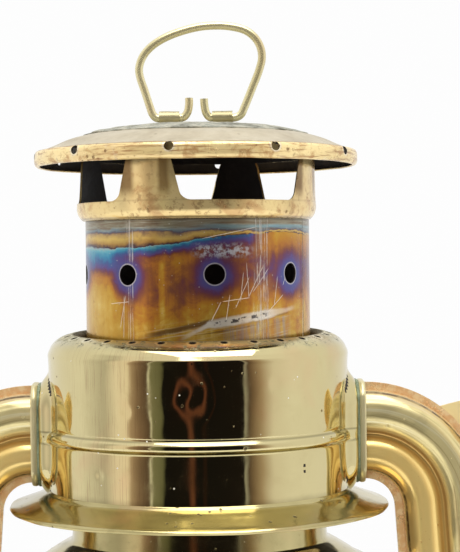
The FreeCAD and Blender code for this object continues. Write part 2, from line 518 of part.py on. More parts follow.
parts["guard_hoops"] = Part.makeCompound([torus(guard_r, 128.0, 1.1), torus(guard_r - 3.0, 160.0, 1.1)])
ups = []
for k in range(4):
    a = 45 + 90 * k
    pts = [polar(49.15, a, PLATE_Z + 0.6), polar(52.0, a, 104.0), polar(guard_r - 2.4, a, 126.0), polar(guard_r - 2.4, a, 131.0), polar(guard_r - 3.9, a, 146.0), polar(guard_r - 5.9, a, 165.0)]
    r = rod(pts, [25, 12, 12, 25], 1.1)
    ups.append(r)
parts["guard_uprights"] = Part.makeCompound(ups)

# ---------------------------------------------------------------- globe lift lever
r_in = 2.06
stud = cyl((LEVER_X, LEVER_Y + 1.55, LEVER_Z), (0, 1, 0), 3.2, 9.0).fuse(cyl((LEVER_X, LEVER_Y - 1.6, LEVER_Z), (0, 1, 0), 2.0, 4.0)).fuse(cyl((LEVER_X, LEVER_Y - 2.8, LEVER_Z), (0, 1, 0), 3.6, 1.25))
half_f = half_f.cut(cyl((LEVER_X, LEVER_Y + 1.5, LEVER_Z), (0, 1, 0), 3.2, 9.1))
parts["lever_stud"] = one(stud)
lev = cyl((LEVER_X, LEVER_Y - 1.45, LEVER_Z), (0, 1, 0), 4.2, 2.9)
a = radians(LEVER_REST)
tip = V(LEVER_X - LEVER_ARM * cos(a), LEVER_Y, LEVER_Z - LEVER_ARM * sin(a))
arm = Part.makeCylinder(1.3, LEVER_ARM, V(LEVER_X, LEVER_Y, LEVER_Z), tip - V(LEVER_X, LEVER_Y, LEVER_Z))
arm2 = rod([(LEVER_X, LEVER_Y, LEVER_Z), (LEVER_X + 13.0, LEVER_Y, LEVER_Z + 9.5), (LEVER_X + 19.0, LEVER_Y, LEVER_Z + 9.5)], 5.0, 1.3)
pad = cyl((LEVER_X + 22.2, LEVER_Y - 1.2, LEVER_Z + 9.5), (0, 1, 0), 5.2, 2.4)
pad = pad.makeFillet(0.9, [e for e in pad.Edges if e.Length > 20])
lev = lev.fuse(arm).fuse(arm2).fuse(pad).fuse(Part.makeSphere(1.3, tip))
lev = lev.cut(cyl((LEVER_X, LEVER_Y - 4, LEVER_Z), (0, 1, 0), r_in, 8))
parts["lift_lever"] = one(lev)

parts["tube_front_right"] = one(half_f)
parts["tube_rear_right"] = one(half_r)
left_f, _, _, _ = tube_run(True)
left_f = finish_half(left_f)
parts["tube_front_left"] = mirror_x(left_f)
parts["tube_rear_left"] = mirror_x(half_r)

# ---------------------------------------------------------------- hood spring
sp_r, sp_z0, sp_z1, turns = 39.9, 219.3, 260.8, 5
helix = Part.makeHelix((sp_z1 - sp_z0) / turns, sp_z1 - sp_z0, sp_r)
helix.translate(V(0, 0, sp_z0))
d = helix.Edges[0].tangentAt(helix.Edges[0].FirstParameter)
sec = Part.Wire(Part.makeCircle(0.7, V(sp_r, 0, sp_z0), d))
spring = Part.Wire(helix.Edges).makePipeShell([sec], True, True)
if spring.Volume < 0:
    spring = spring.reversed()
parts["hood_spring"] = spring

# ---------------------------------------------------------------- write one file per piece
for name in sorted(parts):
    s = parts[name]
    if s is None:
        continue
    print("%-20s %-9s solids %d valid %s volume %.1f" % (name, s.ShapeType, len(s.Solids), s.isValid(), s.Volume))
    s.exportStep("parts/%s.step" % name)
print(len(parts), "pieces")
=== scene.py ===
import bpy, bmesh, json, math, random
from math import sin, cos, pi, radians, degrees, atan2, hypot, sqrt, exp
from mathutils import Vector, Matrix, Quaternion


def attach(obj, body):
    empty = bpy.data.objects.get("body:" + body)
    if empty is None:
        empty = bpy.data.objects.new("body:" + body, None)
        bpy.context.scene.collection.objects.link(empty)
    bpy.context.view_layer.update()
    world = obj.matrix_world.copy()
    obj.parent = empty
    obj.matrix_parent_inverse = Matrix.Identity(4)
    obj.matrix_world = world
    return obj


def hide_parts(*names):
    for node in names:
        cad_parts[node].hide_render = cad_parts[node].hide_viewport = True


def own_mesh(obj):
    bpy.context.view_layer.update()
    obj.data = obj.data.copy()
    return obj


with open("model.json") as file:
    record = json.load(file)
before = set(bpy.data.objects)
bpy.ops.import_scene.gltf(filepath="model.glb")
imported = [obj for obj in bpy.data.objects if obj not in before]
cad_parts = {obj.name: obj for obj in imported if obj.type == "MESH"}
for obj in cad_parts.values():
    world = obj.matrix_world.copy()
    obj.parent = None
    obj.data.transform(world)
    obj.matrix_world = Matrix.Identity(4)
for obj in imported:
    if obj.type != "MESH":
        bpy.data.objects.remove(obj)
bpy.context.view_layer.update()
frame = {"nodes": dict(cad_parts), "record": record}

MM = 0.001
scene = bpy.context.scene

# ------------------------------------------------------------------ camera
D_PX, FRAME_H = 1665.0, 552.0
CAM_Y, CAM_Z = -0.555, 0.290
OFF_X, OFF_Y, ROLL = -32.8, 17.9, 0.0101
cam_data = bpy.data.cameras.new("camera")
cam = bpy.data.objects.new("camera", cam_data)
scene.collection.objects.link(cam)
scene.camera = cam
cam_data.sensor_width = 36.0
cam_data.lens = 36.0 * D_PX / FRAME_H
cam.location = (0.0, CAM_Y, CAM_Z)
yaw, pitch = math.atan(-OFF_X / D_PX), math.atan(OFF_Y / D_PX)
look = Vector((sin(yaw) * cos(pitch), cos(yaw) * cos(pitch), -sin(pitch)))
q = look.to_track_quat("-Z", "Y")
q = q @ Quaternion((0, 0, 1), -ROLL)
cam.rotation_mode = "QUATERNION"
cam.rotation_quaternion = q
cam_data.clip_start, cam_data.clip_end = 0.01, 50.0

scene.view_settings.view_transform = "Standard"
scene.view_settings.look = "None"


# ------------------------------------------------------------------ node helpers
class Tree:
    """Short names for building a shader: every call returns an output socket."""

    def __init__(self, tree):
        self.t = tree
        self.n = tree.nodes
        self.l = tree.links

    def node(self, kind, **props):
        n = self.n.new(kind)
        for k, v in props.items():
            setattr(n, k, v)
        return n

    def put(self, socket, value):
        if hasattr(value, "node") and hasattr(value, "links"):
            self.l.new(value, socket)
        elif value is not None:
            socket.default_value = value

    def math(self, op, a, b=None, c=None, clamp=False):
        n = self.node("ShaderNodeMath", operation=op, use_clamp=clamp)
        self.put(n.inputs[0], a)
        if b is not None:
            self.put(n.inputs[1], b)
        if c is not None:
            self.put(n.inputs[2], c)
        return n.outputs[0]

    def add(self, a, b): return self.math("ADD", a, b)
    def sub(self, a, b): return self.math("SUBTRACT", a, b)
    def mul(self, a, b): return self.math("MULTIPLY", a, b)
    def div(self, a, b): return self.math("DIVIDE", a, b)
    def maxi(self, a, b): return self.math("MAXIMUM", a, b)
    def mini(self, a, b): return self.math("MINIMUM", a, b)

    def smooth(self, x, a, b, lo=0.0, hi=1.0):
        n = self.node("ShaderNodeMapRange", interpolation_type="SMOOTHSTEP")
        self.put(n.inputs["Value"], x)
        self.put(n.inputs["From Min"], a)
        self.put(n.inputs["From Max"], b)
        self.put(n.inputs["To Min"], lo)
        self.put(n.inputs["To Max"], hi)
        return n.outputs["Result"]

    def lin(self, x, a, b, lo=0.0, hi=1.0):
        n = self.node("ShaderNodeMapRange")
        self.put(n.inputs["Value"], x)
        self.put(n.inputs["From Min"], a)
        self.put(n.inputs["From Max"], b)
        self.put(n.inputs["To Min"], lo)
        self.put(n.inputs["To Max"], hi)
        return n.outputs["Result"]

    def bump_in(self, x, centre, width):
        """1 at centre, falling smoothly to 0 at width away."""
        d = self.math("ABSOLUTE", self.sub(x, centre))
        return self.smooth(d, 0.0, width, 1.0, 0.0)

    def combine(self, x, y, z=0.0):
        n = self.node("ShaderNodeCombineXYZ")
        self.put(n.inputs[0], x)
        self.put(n.inputs[1], y)
        self.put(n.inputs[2], z)
        return n.outputs[0]

    def split(self, v):
        n = self.node("ShaderNodeSeparateXYZ")
        self.put(n.inputs[0], v)
        return n.outputs

    def scale(self, v, sx, sy, sz):
        n = self.node("ShaderNodeVectorMath", operation="MULTIPLY")
        self.put(n.inputs[0], v)
        n.inputs[1].default_value = (sx, sy, sz)
        return n.outputs[0]

    def vadd(self, v, w):
        n = self.node("ShaderNodeVectorMath", operation="ADD")
        self.put(n.inputs[0], v)
        self.put(n.inputs[1], w)
        return n.outputs[0]

    def noise(self, v, scale, detail=2.0, rough=0.5, distort=0.0, seed=0.0):
        if seed:
            v = self.vadd(v, (seed * 7.3, seed * 3.1, seed * 5.7))
        n = self.node("ShaderNodeTexNoise")
        self.put(n.inputs["Vector"], v)
        n.inputs["Scale"].default_value = scale
        n.inputs["Detail"].default_value = detail
        n.inputs["Roughness"].default_value = rough
        n.inputs["Distortion"].default_value = distort
        return n.outputs["Fac"] if "Fac" in n.outputs else n.outputs[0]

    def voronoi(self, v, scale, feature="F1", rand=1.0, out="Distance", seed=0.0):
        if seed:
            v = self.vadd(v, (seed * 7.3, seed * 3.1, seed * 5.7))
        n = self.node("ShaderNodeTexVoronoi", feature=feature)
        self.put(n.inputs["Vector"], v)
        n.inputs["Scale"].default_value = scale
        n.inputs["Randomness"].default_value = rand
        return n.outputs[out]

    def ramp(self, fac, stops, mode="LINEAR"):
        n = self.node("ShaderNodeValToRGB")
        cr = n.color_ramp
        cr.interpolation = mode
        while len(cr.elements) > 1:
            cr.elements.remove(cr.elements[-1])
        first = True
        for p, c in stops:
            if first:
                e = cr.elements[0]
                e.position = p
                first = False
            else:
                e = cr.elements.new(p)
            e.color = (c[0], c[1], c[2], 1.0) if len(c) == 3 else c
        self.put(n.inputs[0], fac)
        return n.outputs[0]

    def mix(self, fac, a, b, blend="MIX"):
        n = self.node("ShaderNodeMix", data_type="RGBA", blend_type=blend, clamp_factor=True)
        self.put(n.inputs[0], fac)
        for s, v in ((n.inputs[6], a), (n.inputs[7], b)):
            if isinstance(v, (tuple, list)):
                v = (v[0], v[1], v[2], 1.0)
            self.put(s, v)
        return n.outputs[2]

    def bump(self, height, strength, distance, normal=None):
        n = self.node("ShaderNodeBump")
        n.inputs["Strength"].default_value = strength
        n.inputs["Distance"].default_value = distance
        self.put(n.inputs["Height"], height)
        if normal is not None:
            self.put(n.inputs["Normal"], normal)
        return n.outputs[0]


def srgb(r, g, b):
    """0..255 display values to linear."""
    def f(c):
        c = c / 255.0
        return c / 12.92 if c <= 0.04045 else ((c + 0.055) / 1.055) ** 2.4
    return (f(r), f(g), f(b))


def new_mat(name):
    m = bpy.data.materials.new(name)
    m.use_nodes = True
    t = m.node_tree
    t.nodes.clear()
    T = Tree(t)
    out = T.node("ShaderNodeOutputMaterial")
    bsdf = T.node("ShaderNodeBsdfPrincipled")
    T.l.new(bsdf.outputs[0], out.inputs[0])
    T.bsdf = bsdf
    T.out = out
    T.obj = T.node("ShaderNodeTexCoord").outputs["Object"]
    T.mat = m
    return m, T


def polar_coords(T, R):
    """(arc length in mm, height in mm) on a round body of radius R mm; the arc runs from the front towards +X."""
    s = T.split(T.obj)
    ang = T.math("ARCTAN2", s[0], T.mul(s[1], -1.0))
    return T.mul(ang, R), T.mul(s[2], 1000.0), ang



def band(T, x, centre, half, soft):
    """1 within half of centre, fading to 0 over soft."""
    return T.smooth(T.math("ABSOLUTE", T.sub(x, centre)), half, half + soft, 1.0, 0.0)


def segment(T, u, z, a, b, width, soft=0.08, wiggle=None):
    """Mask of a thin straight scratch from a to b (mm)."""
    dx, dz = b[0] - a[0], b[1] - a[1]
    L = hypot(dx, dz)
    dx, dz = dx / L, dz / L
    ux, uz = T.sub(u, a[0]), T.sub(z, a[1])
    along = T.add(T.mul(ux, dx), T.mul(uz, dz))
    across = T.sub(T.mul(ux, dz), T.mul(uz, dx))
    if wiggle is not None:
        across = T.add(across, wiggle)
    m = T.smooth(T.math("ABSOLUTE", across), width, width + soft, 1.0, 0.0)
    e = T.mul(T.smooth(along, 0.0, L * 0.12), T.smooth(along, L * 0.85, L, 1.0, 0.0))
    return T.mul(m, e)

# ------------------------------------------------------------------ sheet metal pieces, turned about the lantern's axis
from mathutils.bvhtree import BVHTree
from mathutils.interpolate import poly_3d_calc
from mathutils import noise as mnoise

SEG = 240


def wobble(x, y, z, size, seed=0.0):
    """Slow random field, about -1..1, over lengths of size mm."""
    return mnoise.noise(Vector((x / size + seed * 3.7, y / size - seed * 1.9, z / size + seed * 5.3)))


def sstep(x, a, b):
    t = (x - a) / (b - a)
    t = 0.0 if t < 0 else 1.0 if t > 1 else t
    return t * t * (3 - 2 * t)


def curve(pts, step=0.9):
    """Fine smooth line through (r, z) points; a third value of 1 makes that point a sharp corner."""
    runs, run = [], []
    for i, p in enumerate(pts):
        run.append((p[0], p[1]))
        if len(p) > 2 and p[2] and 0 < i < len(pts) - 1:
            runs.append(run)
            run = [(p[0], p[1])]
    runs.append(run)
    out = []
    for run in runs:
        m = len(run)
        for i in range(m - 1):
            p1, p2 = run[i], run[i + 1]
            p0 = run[i - 1] if i else (2 * p1[0] - p2[0], 2 * p1[1] - p2[1])
            p3 = run[i + 2] if i + 2 < m else (2 * p2[0] - p1[0], 2 * p2[1] - p1[1])
            t0 = 0.0
            ts = [0.0]
            for a, b in ((p0, p1), (p1, p2), (p2, p3)):
                ts.append(ts[-1] + max(1e-6, sqrt(hypot(a[0] - b[0], a[1] - b[1]))))
            n = max(1, int(math.ceil(hypot(p2[0] - p1[0], p2[1] - p1[1]) / step)))
            if m == 2:
                n = max(1, min(n, 14))
            for k in range(n):
                t = ts[1] + (ts[2] - ts[1]) * k / n
                q = []
                for c in range(2):
                    A1 = (ts[1] - t) / (ts[1] - ts[0]) * p0[c] + (t - ts[0]) / (ts[1] - ts[0]) * p1[c]
                    A2 = (ts[2] - t) / (ts[2] - ts[1]) * p1[c] + (t - ts[1]) / (ts[2] - ts[1]) * p2[c]
                    A3 = (ts[3] - t) / (ts[3] - ts[2]) * p2[c] + (t - ts[2]) / (ts[3] - ts[2]) * p3[c]
                    B1 = (ts[2] - t) / (ts[2] - ts[0]) * A1 + (t - ts[0]) / (ts[2] - ts[0]) * A2
                    B2 = (ts[3] - t) / (ts[3] - ts[1]) * A2 + (t - ts[1]) / (ts[3] - ts[1]) * A3
                    q.append((ts[2] - t) / (ts[2] - ts[1]) * B1 + (t - ts[1]) / (ts[2] - ts[1]) * B2)
                out.append(tuple(q))
    out.append((pts[-1][0], pts[-1][1]))
    return out


def sheet(line, t, side=1.0):
    """Closed section of a sheet t thick behind the line, with rounded edges. Returns points and, for each, 0 on the face, 1 behind."""
    n = len(line)
    nor = []
    for i in range(n):
        a, b = line[max(i - 1, 0)], line[min(i + 1, n - 1)]
        dx, dz = b[0] - a[0], b[1] - a[1]
        d = hypot(dx, dz) or 1.0
        nor.append((-dz / d * side, dx / d * side))
    loop, back = list(line), [0] * n
    def turn(i):
        p, m = line[i], nor[i]
        c = (p[0] + m[0] * t / 2, p[1] + m[1] * t / 2)
        j = 1 if i == 0 else -1
        o = line[i + j]
        e = (p[0] - o[0], p[1] - o[1])
        L = hypot(*e) or 1.0
        e = (e[0] / L, e[1] / L)
        res = []
        for k in range(1, 4):
            a = pi * k / 4
            res.append((c[0] - m[0] * t / 2 * cos(a) + e[0] * t / 2 * sin(a) * 0.8, c[1] - m[1] * t / 2 * cos(a) + e[1] * t / 2 * sin(a) * 0.8))
        return res
    loop += turn(n - 1)
    back += [0, 0, 1]
    for i in range(n - 1, -1, -1):
        loop.append((line[i][0] + nor[i][0] * t, line[i][1] + nor[i][1] * t))
        back.append(1)
    loop += turn(0)[::-1]
    back += [1, 0, 0]
    return loop, back


def link(name, me, mats):
    ob = bpy.data.objects.new(name, me)
    scene.collection.objects.link(ob)
    for m in mats:
        me.materials.append(m)
    return ob


def lathe(name, loop, mats, back=None, warp=None, seg=SEG, sharp=35.0, flip=False):
    """A turned piece from a closed section of (r, z) points in mm. warp(angle, r, z) gives a new (r, z); angle 0 is the front, + towards +X."""
    n = len(loop)
    co = []
    for k in range(seg):
        a = 2 * pi * k / seg
        sa, ca = sin(a), -cos(a)
        for i, (r, z) in enumerate(loop):
            if warp:
                r, z = warp(a if a <= pi else a - 2 * pi, r, z, back[i] if back else 0)
            co.append((r * sa * MM, r * ca * MM, z * MM))
    faces, idx = [], []
    for k in range(seg):
        k2 = (k + 1) % seg
        for i in range(n):
            j = (i + 1) % n
            f = (k * n + i, k2 * n + i, k2 * n + j, k * n + j)
            faces.append(f[::-1] if flip else f)
            idx.append(1 if back and back[i] and back[j] and len(mats) > 1 else 0)
    me = bpy.data.meshes.new(name)
    me.from_pydata(co, [], faces)
    me.polygons.foreach_set("use_smooth", [True] * len(faces))
    me.polygons.foreach_set("material_index", idx)
    me.update()
    bm = bmesh.new()
    bm.from_mesh(me)
    if bm.calc_volume(signed=True) < 0:
        bmesh.ops.reverse_faces(bm, faces=bm.faces)
        bm.to_mesh(me)
    bm.free()
    me.set_sharp_from_angle(angle=radians(sharp))
    return link(name, me, mats)


def solid(name, co, faces, mats, smooth=False, sharp=35.0):
    me = bpy.data.meshes.new(name)
    me.from_pydata([tuple(c * MM for c in p) for p in co], [], faces)
    bm = bmesh.new()
    bm.from_mesh(me)
    bmesh.ops.recalc_face_normals(bm, faces=bm.faces)
    bm.to_mesh(me)
    bm.free()
    if smooth:
        me.polygons.foreach_set("use_smooth", [True] * len(me.polygons))
        me.set_sharp_from_angle(angle=radians(sharp))
    return link(name, me, mats)


def rod_geo(p, d, r, L, seg=28, r2=None):
    """Points and faces of a capped cylinder from p along d."""
    d = Vector(d).normalized()
    u = d.orthogonal().normalized()
    v = d.cross(u)
    co, fs = [], []
    for e, rr in ((0.0, r), (L, r2 if r2 is not None else r)):
        for k in range(seg):
            a = 2 * pi * k / seg
            q = Vector(p) + d * e + u * rr * cos(a) + v * rr * sin(a)
            co.append(tuple(q))
    for k in range(seg):
        k2 = (k + 1) % seg
        fs.append((k, k2, seg + k2, seg + k))
    fs.append(tuple(range(seg))[::-1])
    fs.append(tuple(range(seg, 2 * seg)))
    return co, fs


def prism_geo(outline, place):
    """place((a, b), 0 or 1) turns an outline point into space."""
    n = len(outline)
    co = [place(p, 0) for p in outline] + [place(p, 1) for p in outline]
    fs = [(k, (k + 1) % n, n + (k + 1) % n, n + k) for k in range(n)]
    return co, fs + [tuple(range(n))[::-1], tuple(range(n, 2 * n))]


def merge(parts):
    co, fs = [], []
    for c, f in parts:
        b = len(co)
        co += c
        fs += [tuple(i + b for i in g) for g in f]
    return co, fs


def cut(obj, parts, edge_mat=0):
    """Takes the cutters out of obj and keeps the smooth shading that its faces had."""
    src = obj.data
    vs = [v.co.copy() for v in src.vertices]
    ps = [tuple(p.vertices) for p in src.polygons]
    starts = [p.loop_start for p in src.polygons]
    nor = [c.vector.copy() for c in src.corner_normals]
    tree = BVHTree.FromPolygons(vs, ps)
    co, fs = merge(parts)
    tool = solid("tool", co, fs, [])
    mod = obj.modifiers.new("cut", "BOOLEAN")
    mod.object = tool
    mod.operation = "DIFFERENCE"
    mod.solver = "EXACT"
    dg = bpy.context.evaluated_depsgraph_get()
    dg.update()
    me = bpy.data.meshes.new_from_object(obj.evaluated_get(dg))
    obj.modifiers.clear()
    me.name = obj.name
    obj.data = me
    bpy.data.objects.remove(tool)
    out = [None] * len(me.loops)
    for p in me.polygons:
        hit, hn, fi, d = tree.find_nearest(p.center)
        on = hit is not None and d < 4e-5 and abs(hn.dot(p.normal)) > 0.9
        if on:
            q = ps[fi]
            qv = [vs[i] for i in q]
            s0 = starts[fi]
        else:
            p.material_index = edge_mat
        for li in p.loop_indices:
            if on:
                w = poly_3d_calc(qv, me.vertices[me.loops[li].vertex_index].co)
                n = Vector((0, 0, 0))
                for k, wk in enumerate(w):
                    n += nor[s0 + k] * wk
                n = n.normalized() if n.length > 1e-6 else p.normal.copy()
                out[li] = n if n.dot(p.normal) > 0.2 else p.normal.copy()
            else:
                out[li] = p.normal.copy()
    me.polygons.foreach_set("use_smooth", [True] * len(me.polygons))
    me.normals_split_custom_set([tuple(n) for n in out])
    return obj


def pol(r, deg, z=0.0):
    a = radians(deg)
    return (r * sin(a), -r * cos(a), z)


def piece(obj, body, nodes=()):
    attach(obj, body)
    if nodes:
        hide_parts(*nodes)
    return obj


def tube_mesh(name, pts, radius, mats, seg=28, caps=True, shape=None, round_ends=0):
    """A round wire along fine points (mm), turned with no twist. shape(i, angle) scales the radius."""
    P = [Vector(p) for p in pts]
    n = len(P)
    T = [(P[min(i + 1, n - 1)] - P[max(i - 1, 0)]).normalized() for i in range(n)]
    u = T[0].orthogonal().normalized()
    co, fs = [], []
    for i in range(n):
        if i:
            q = T[i - 1].rotation_difference(T[i])
            u = q @ u
            u = (u - T[i] * u.dot(T[i])).normalized()
        v = T[i].cross(u)
        for k in range(seg):
            a = 2 * pi * k / seg
            rr = radius * (shape(i, a) if shape else 1.0)
            co.append(tuple(P[i] + u * rr * cos(a) + v * rr * sin(a)))
    for i in range(n - 1):
        for k in range(seg):
            k2 = (k + 1) % seg
            fs.append((i * seg + k, i * seg + k2, (i + 1) * seg + k2, (i + 1) * seg + k))
    fs.append(tuple(range(seg))[::-1])
    fs.append(tuple(range((n - 1) * seg, n * seg)))
    return solid(name, co, fs, mats, True, 50.0)

# ------------------------------------------------------------------ materials
def brass(name, col, dark, rough=0.12, pits=0.35, blotch=0.3, green=0.12, wave=0.10, seed=1.0, spot_size=220.0, dull=0.0, extra=None, metal=1.0,
          copper=0.0, slow_size=26.0):
    """Old polished brass: pale metal, slow dents in the sheet, pits and dark specks, a little verdigris and copper blush."""
    m, T = new_mat(name)
    p = T.obj
    slow = T.noise(p, slow_size, 3.0, 0.55, 0.2, seed)
    mid = T.noise(p, 120.0, 4.0, 0.6, 0.3, seed + 1)
    fine = T.noise(p, 900.0, 3.0, 0.6, 0.0, seed + 2)
    vd = T.voronoi(p, spot_size, seed=seed)
    gather = T.smooth(T.noise(p, 70.0, 2.0, 0.5, 0.0, seed + 3), 0.46, 0.68)
    size = T.mul(gather, 0.26 * pits + 0.02)
    speck = T.smooth(T.sub(vd, size), 0.0, 0.05, 1.0, 0.0)
    speck = T.mul(speck, T.smooth(gather, 0.05, 0.2))
    vd2 = T.voronoi(p, spot_size * 2.6, seed=seed + 4)
    speck2 = T.mul(T.smooth(vd2, 0.06, 0.12, 1.0, 0.0), T.smooth(T.noise(p, 160.0, 2.0, 0.5, 0.0, seed + 5), 0.55, 0.7))
    stain = T.smooth(mid, 0.52, 0.75)
    c = T.mix(T.mul(T.smooth(slow, 0.35, 0.7), blotch), col, dark)
    c = T.mix(T.mul(stain, blotch * 0.6), c, dark)
    if copper:
        cp = T.smooth(T.noise(p, 38.0, 3.0, 0.6, 0.4, seed + 11), 0.52, 0.72)
        c = T.mix(T.mul(cp, copper), c, (0.72, 0.40, 0.24))
    c = T.mix(T.mul(speck, 0.8), c, (dark[0] * 0.35, dark[1] * 0.3, dark[2] * 0.3))
    c = T.mix(T.mul(speck2, 0.55 * min(1.0, pits * 2)), c, (dark[0] * 0.4, dark[1] * 0.35, dark[2] * 0.3))
    gv = T.voronoi(p, 75.0, seed=seed + 9)
    gm = T.mul(T.smooth(gv, 0.10, 0.2, 1.0, 0.0), T.smooth(T.noise(p, 60.0, 2.0, 0.5, 0.0, seed + 7), 0.6, 0.72))
    gm = T.mul(gm, green * 4.0)
    c = T.mix(gm, c, (0.22, 0.34, 0.25))
    r = T.add(rough, T.mul(T.smooth(mid, 0.4, 0.8), 0.10 + dull))
    r = T.add(r, T.mul(speck, 0.3))
    r = T.add(r, T.mul(gm, 0.4))
    r = T.add(r, T.mul(T.smooth(fine, 0.5, 0.9), 0.05))
    h = T.mul(T.add(speck, T.mul(speck2, 0.6)), -1.0)
    mt = metal
    if extra:
        c, r, h, mt = extra(T, c, r, h, mt)
    T.put(T.bsdf.inputs["Base Color"], c)
    T.put(T.bsdf.inputs["Metallic"], mt)
    T.put(T.bsdf.inputs["Roughness"], r)
    n = T.bump(slow, wave, 0.004)
    n = T.bump(mid, wave * 0.35, 0.0006, n)
    n = T.bump(h, 0.5, 0.00012, n)
    T.put(T.bsdf.inputs["Normal"], n)
    return m


YELLOW = (0.70, 0.61, 0.325)
YDARK = (0.42, 0.31, 0.13)


def crown_wear(T, c, r, h, mt):
    u, z, ang = polar_coords(T, 50.0)
    nz = T.noise(T.obj, 90.0, 3.0, 0.6, 0.0, 31.0)
    zz = T.add(z, T.mul(T.sub(nz, 0.5), 2.0))
    # painted shade: a dark line in the crease under the bead; also grime along the seam, and green-brown bloom over the
    # shoulder and low on the wall
    g = T.maxi(T.mul(band(T, z, 230.3, 0.05, 0.7), 0.5), T.mul(band(T, z, 234.0, 0.05, 0.5), 0.55))
    g = T.maxi(g, T.mul(T.smooth(zz, 213.5, 216.5, 1.0, 0.0), 0.45))
    c = T.mix(g, c, (0.20, 0.17, 0.08))
    sh = T.mul(T.smooth(zz, 260.5, 264.5), T.smooth(nz, 0.32, 0.58))
    c = T.mix(T.mul(sh, 0.40), c, (0.36, 0.36, 0.22))
    r = T.add(r, T.mul(sh, 0.12))
    # grey-green bloom and little dark arcs round the holes, a painted highlight on pale lips round them, painted shade
    # in the gutter at the sleeve's foot
    sp = T.split(T.obj)
    rr = T.mul(T.math("SQRT", T.add(T.mul(sp[0], sp[0]), T.mul(sp[1], sp[1]))), 1000.0)
    top = T.smooth(z, 261.0, 263.0)
    deg = T.mul(ang, 180.0 / pi)
    step = 360.0 / 28.0
    dm = T.sub(T.math("FLOORED_MODULO", T.add(deg, 2.2 + step / 2), step), step / 2)
    dh = T.math("SQRT", T.add(T.math("POWER", T.mul(dm, 0.759), 2.0), T.math("POWER", T.sub(rr, 43.5), 2.0)))
    nf = T.noise(T.obj, 520.0, 4.0, 0.7, 0.3, 33.0)
    # painted highlight: a pale ring on the rim of each hole
    lip_highlight = T.mul(T.mul(band(T, T.add(dh, T.mul(T.sub(nf, 0.5), 0.8)), 1.65, 0.18, 0.3), top), 0.6)
    c = T.mix(lip_highlight, c, (0.86, 0.80, 0.56))
    arcs = T.mul(T.mul(T.smooth(nf, 0.54, 0.60), T.smooth(T.math("ABSOLUTE", T.sub(dh, 3.2)), 0.0, 2.4, 1.0, 0.0)), top)
    c = T.mix(T.mul(arcs, 0.85), c, (0.16, 0.17, 0.11))
    # painted shade: near-black in the gap where the sleeve goes into the crown
    sleeve_foot_shade = T.mul(T.smooth(T.add(rr, T.mul(T.sub(nf, 0.5), 1.2)), 42.4, 41.0), top)
    c = T.mix(T.mul(sleeve_foot_shade, 0.85), c, (0.07, 0.055, 0.03))
    r = T.add(r, T.add(T.mul(sleeve_foot_shade, 0.35), T.mul(arcs, 0.25)))
    r = T.add(r, T.mul(T.mul(top, T.smooth(rr, 47.5, 45.0)), 0.20))
    # pale grains of dust and polish left on the wall
    vp = T.voronoi(T.obj, 210.0, seed=9.0)
    dust = T.mul(T.smooth(vp, 0.075, 0.03), T.smooth(T.noise(T.obj, 90.0, 2.0, 0.5, 0.0, 34.0), 0.42, 0.50))
    c = T.mix(dust, c, (0.86, 0.84, 0.74))
    mt = T.sub(mt, T.mul(dust, 0.9))
    r = T.add(r, T.mul(dust, 0.5))
    h = T.add(h, T.mul(arcs, -0.8))
    # fine vertical rubbing marks
    w = T.noise(T.combine(T.mul(u, 0.8), T.mul(z, 0.03), 3.0), 1.0, 3.0, 0.6)
    r = T.add(r, T.mul(T.smooth(w, 0.55, 0.75), 0.05))
    w2 = T.noise(T.combine(T.mul(u, 2.2), T.mul(z, 0.045), 6.0), 1.0, 4.0, 0.7)
    wm = T.mul(T.mul(T.smooth(w2, 0.52, 0.66), T.smooth(deg, -62.0, -44.0)), T.smooth(deg, -8.0, -26.0))
    c = T.mix(T.mul(wm, 0.45), c, (0.40, 0.27, 0.15))
    r = T.add(r, T.mul(wm, 0.07))
    return c, r, h, mt


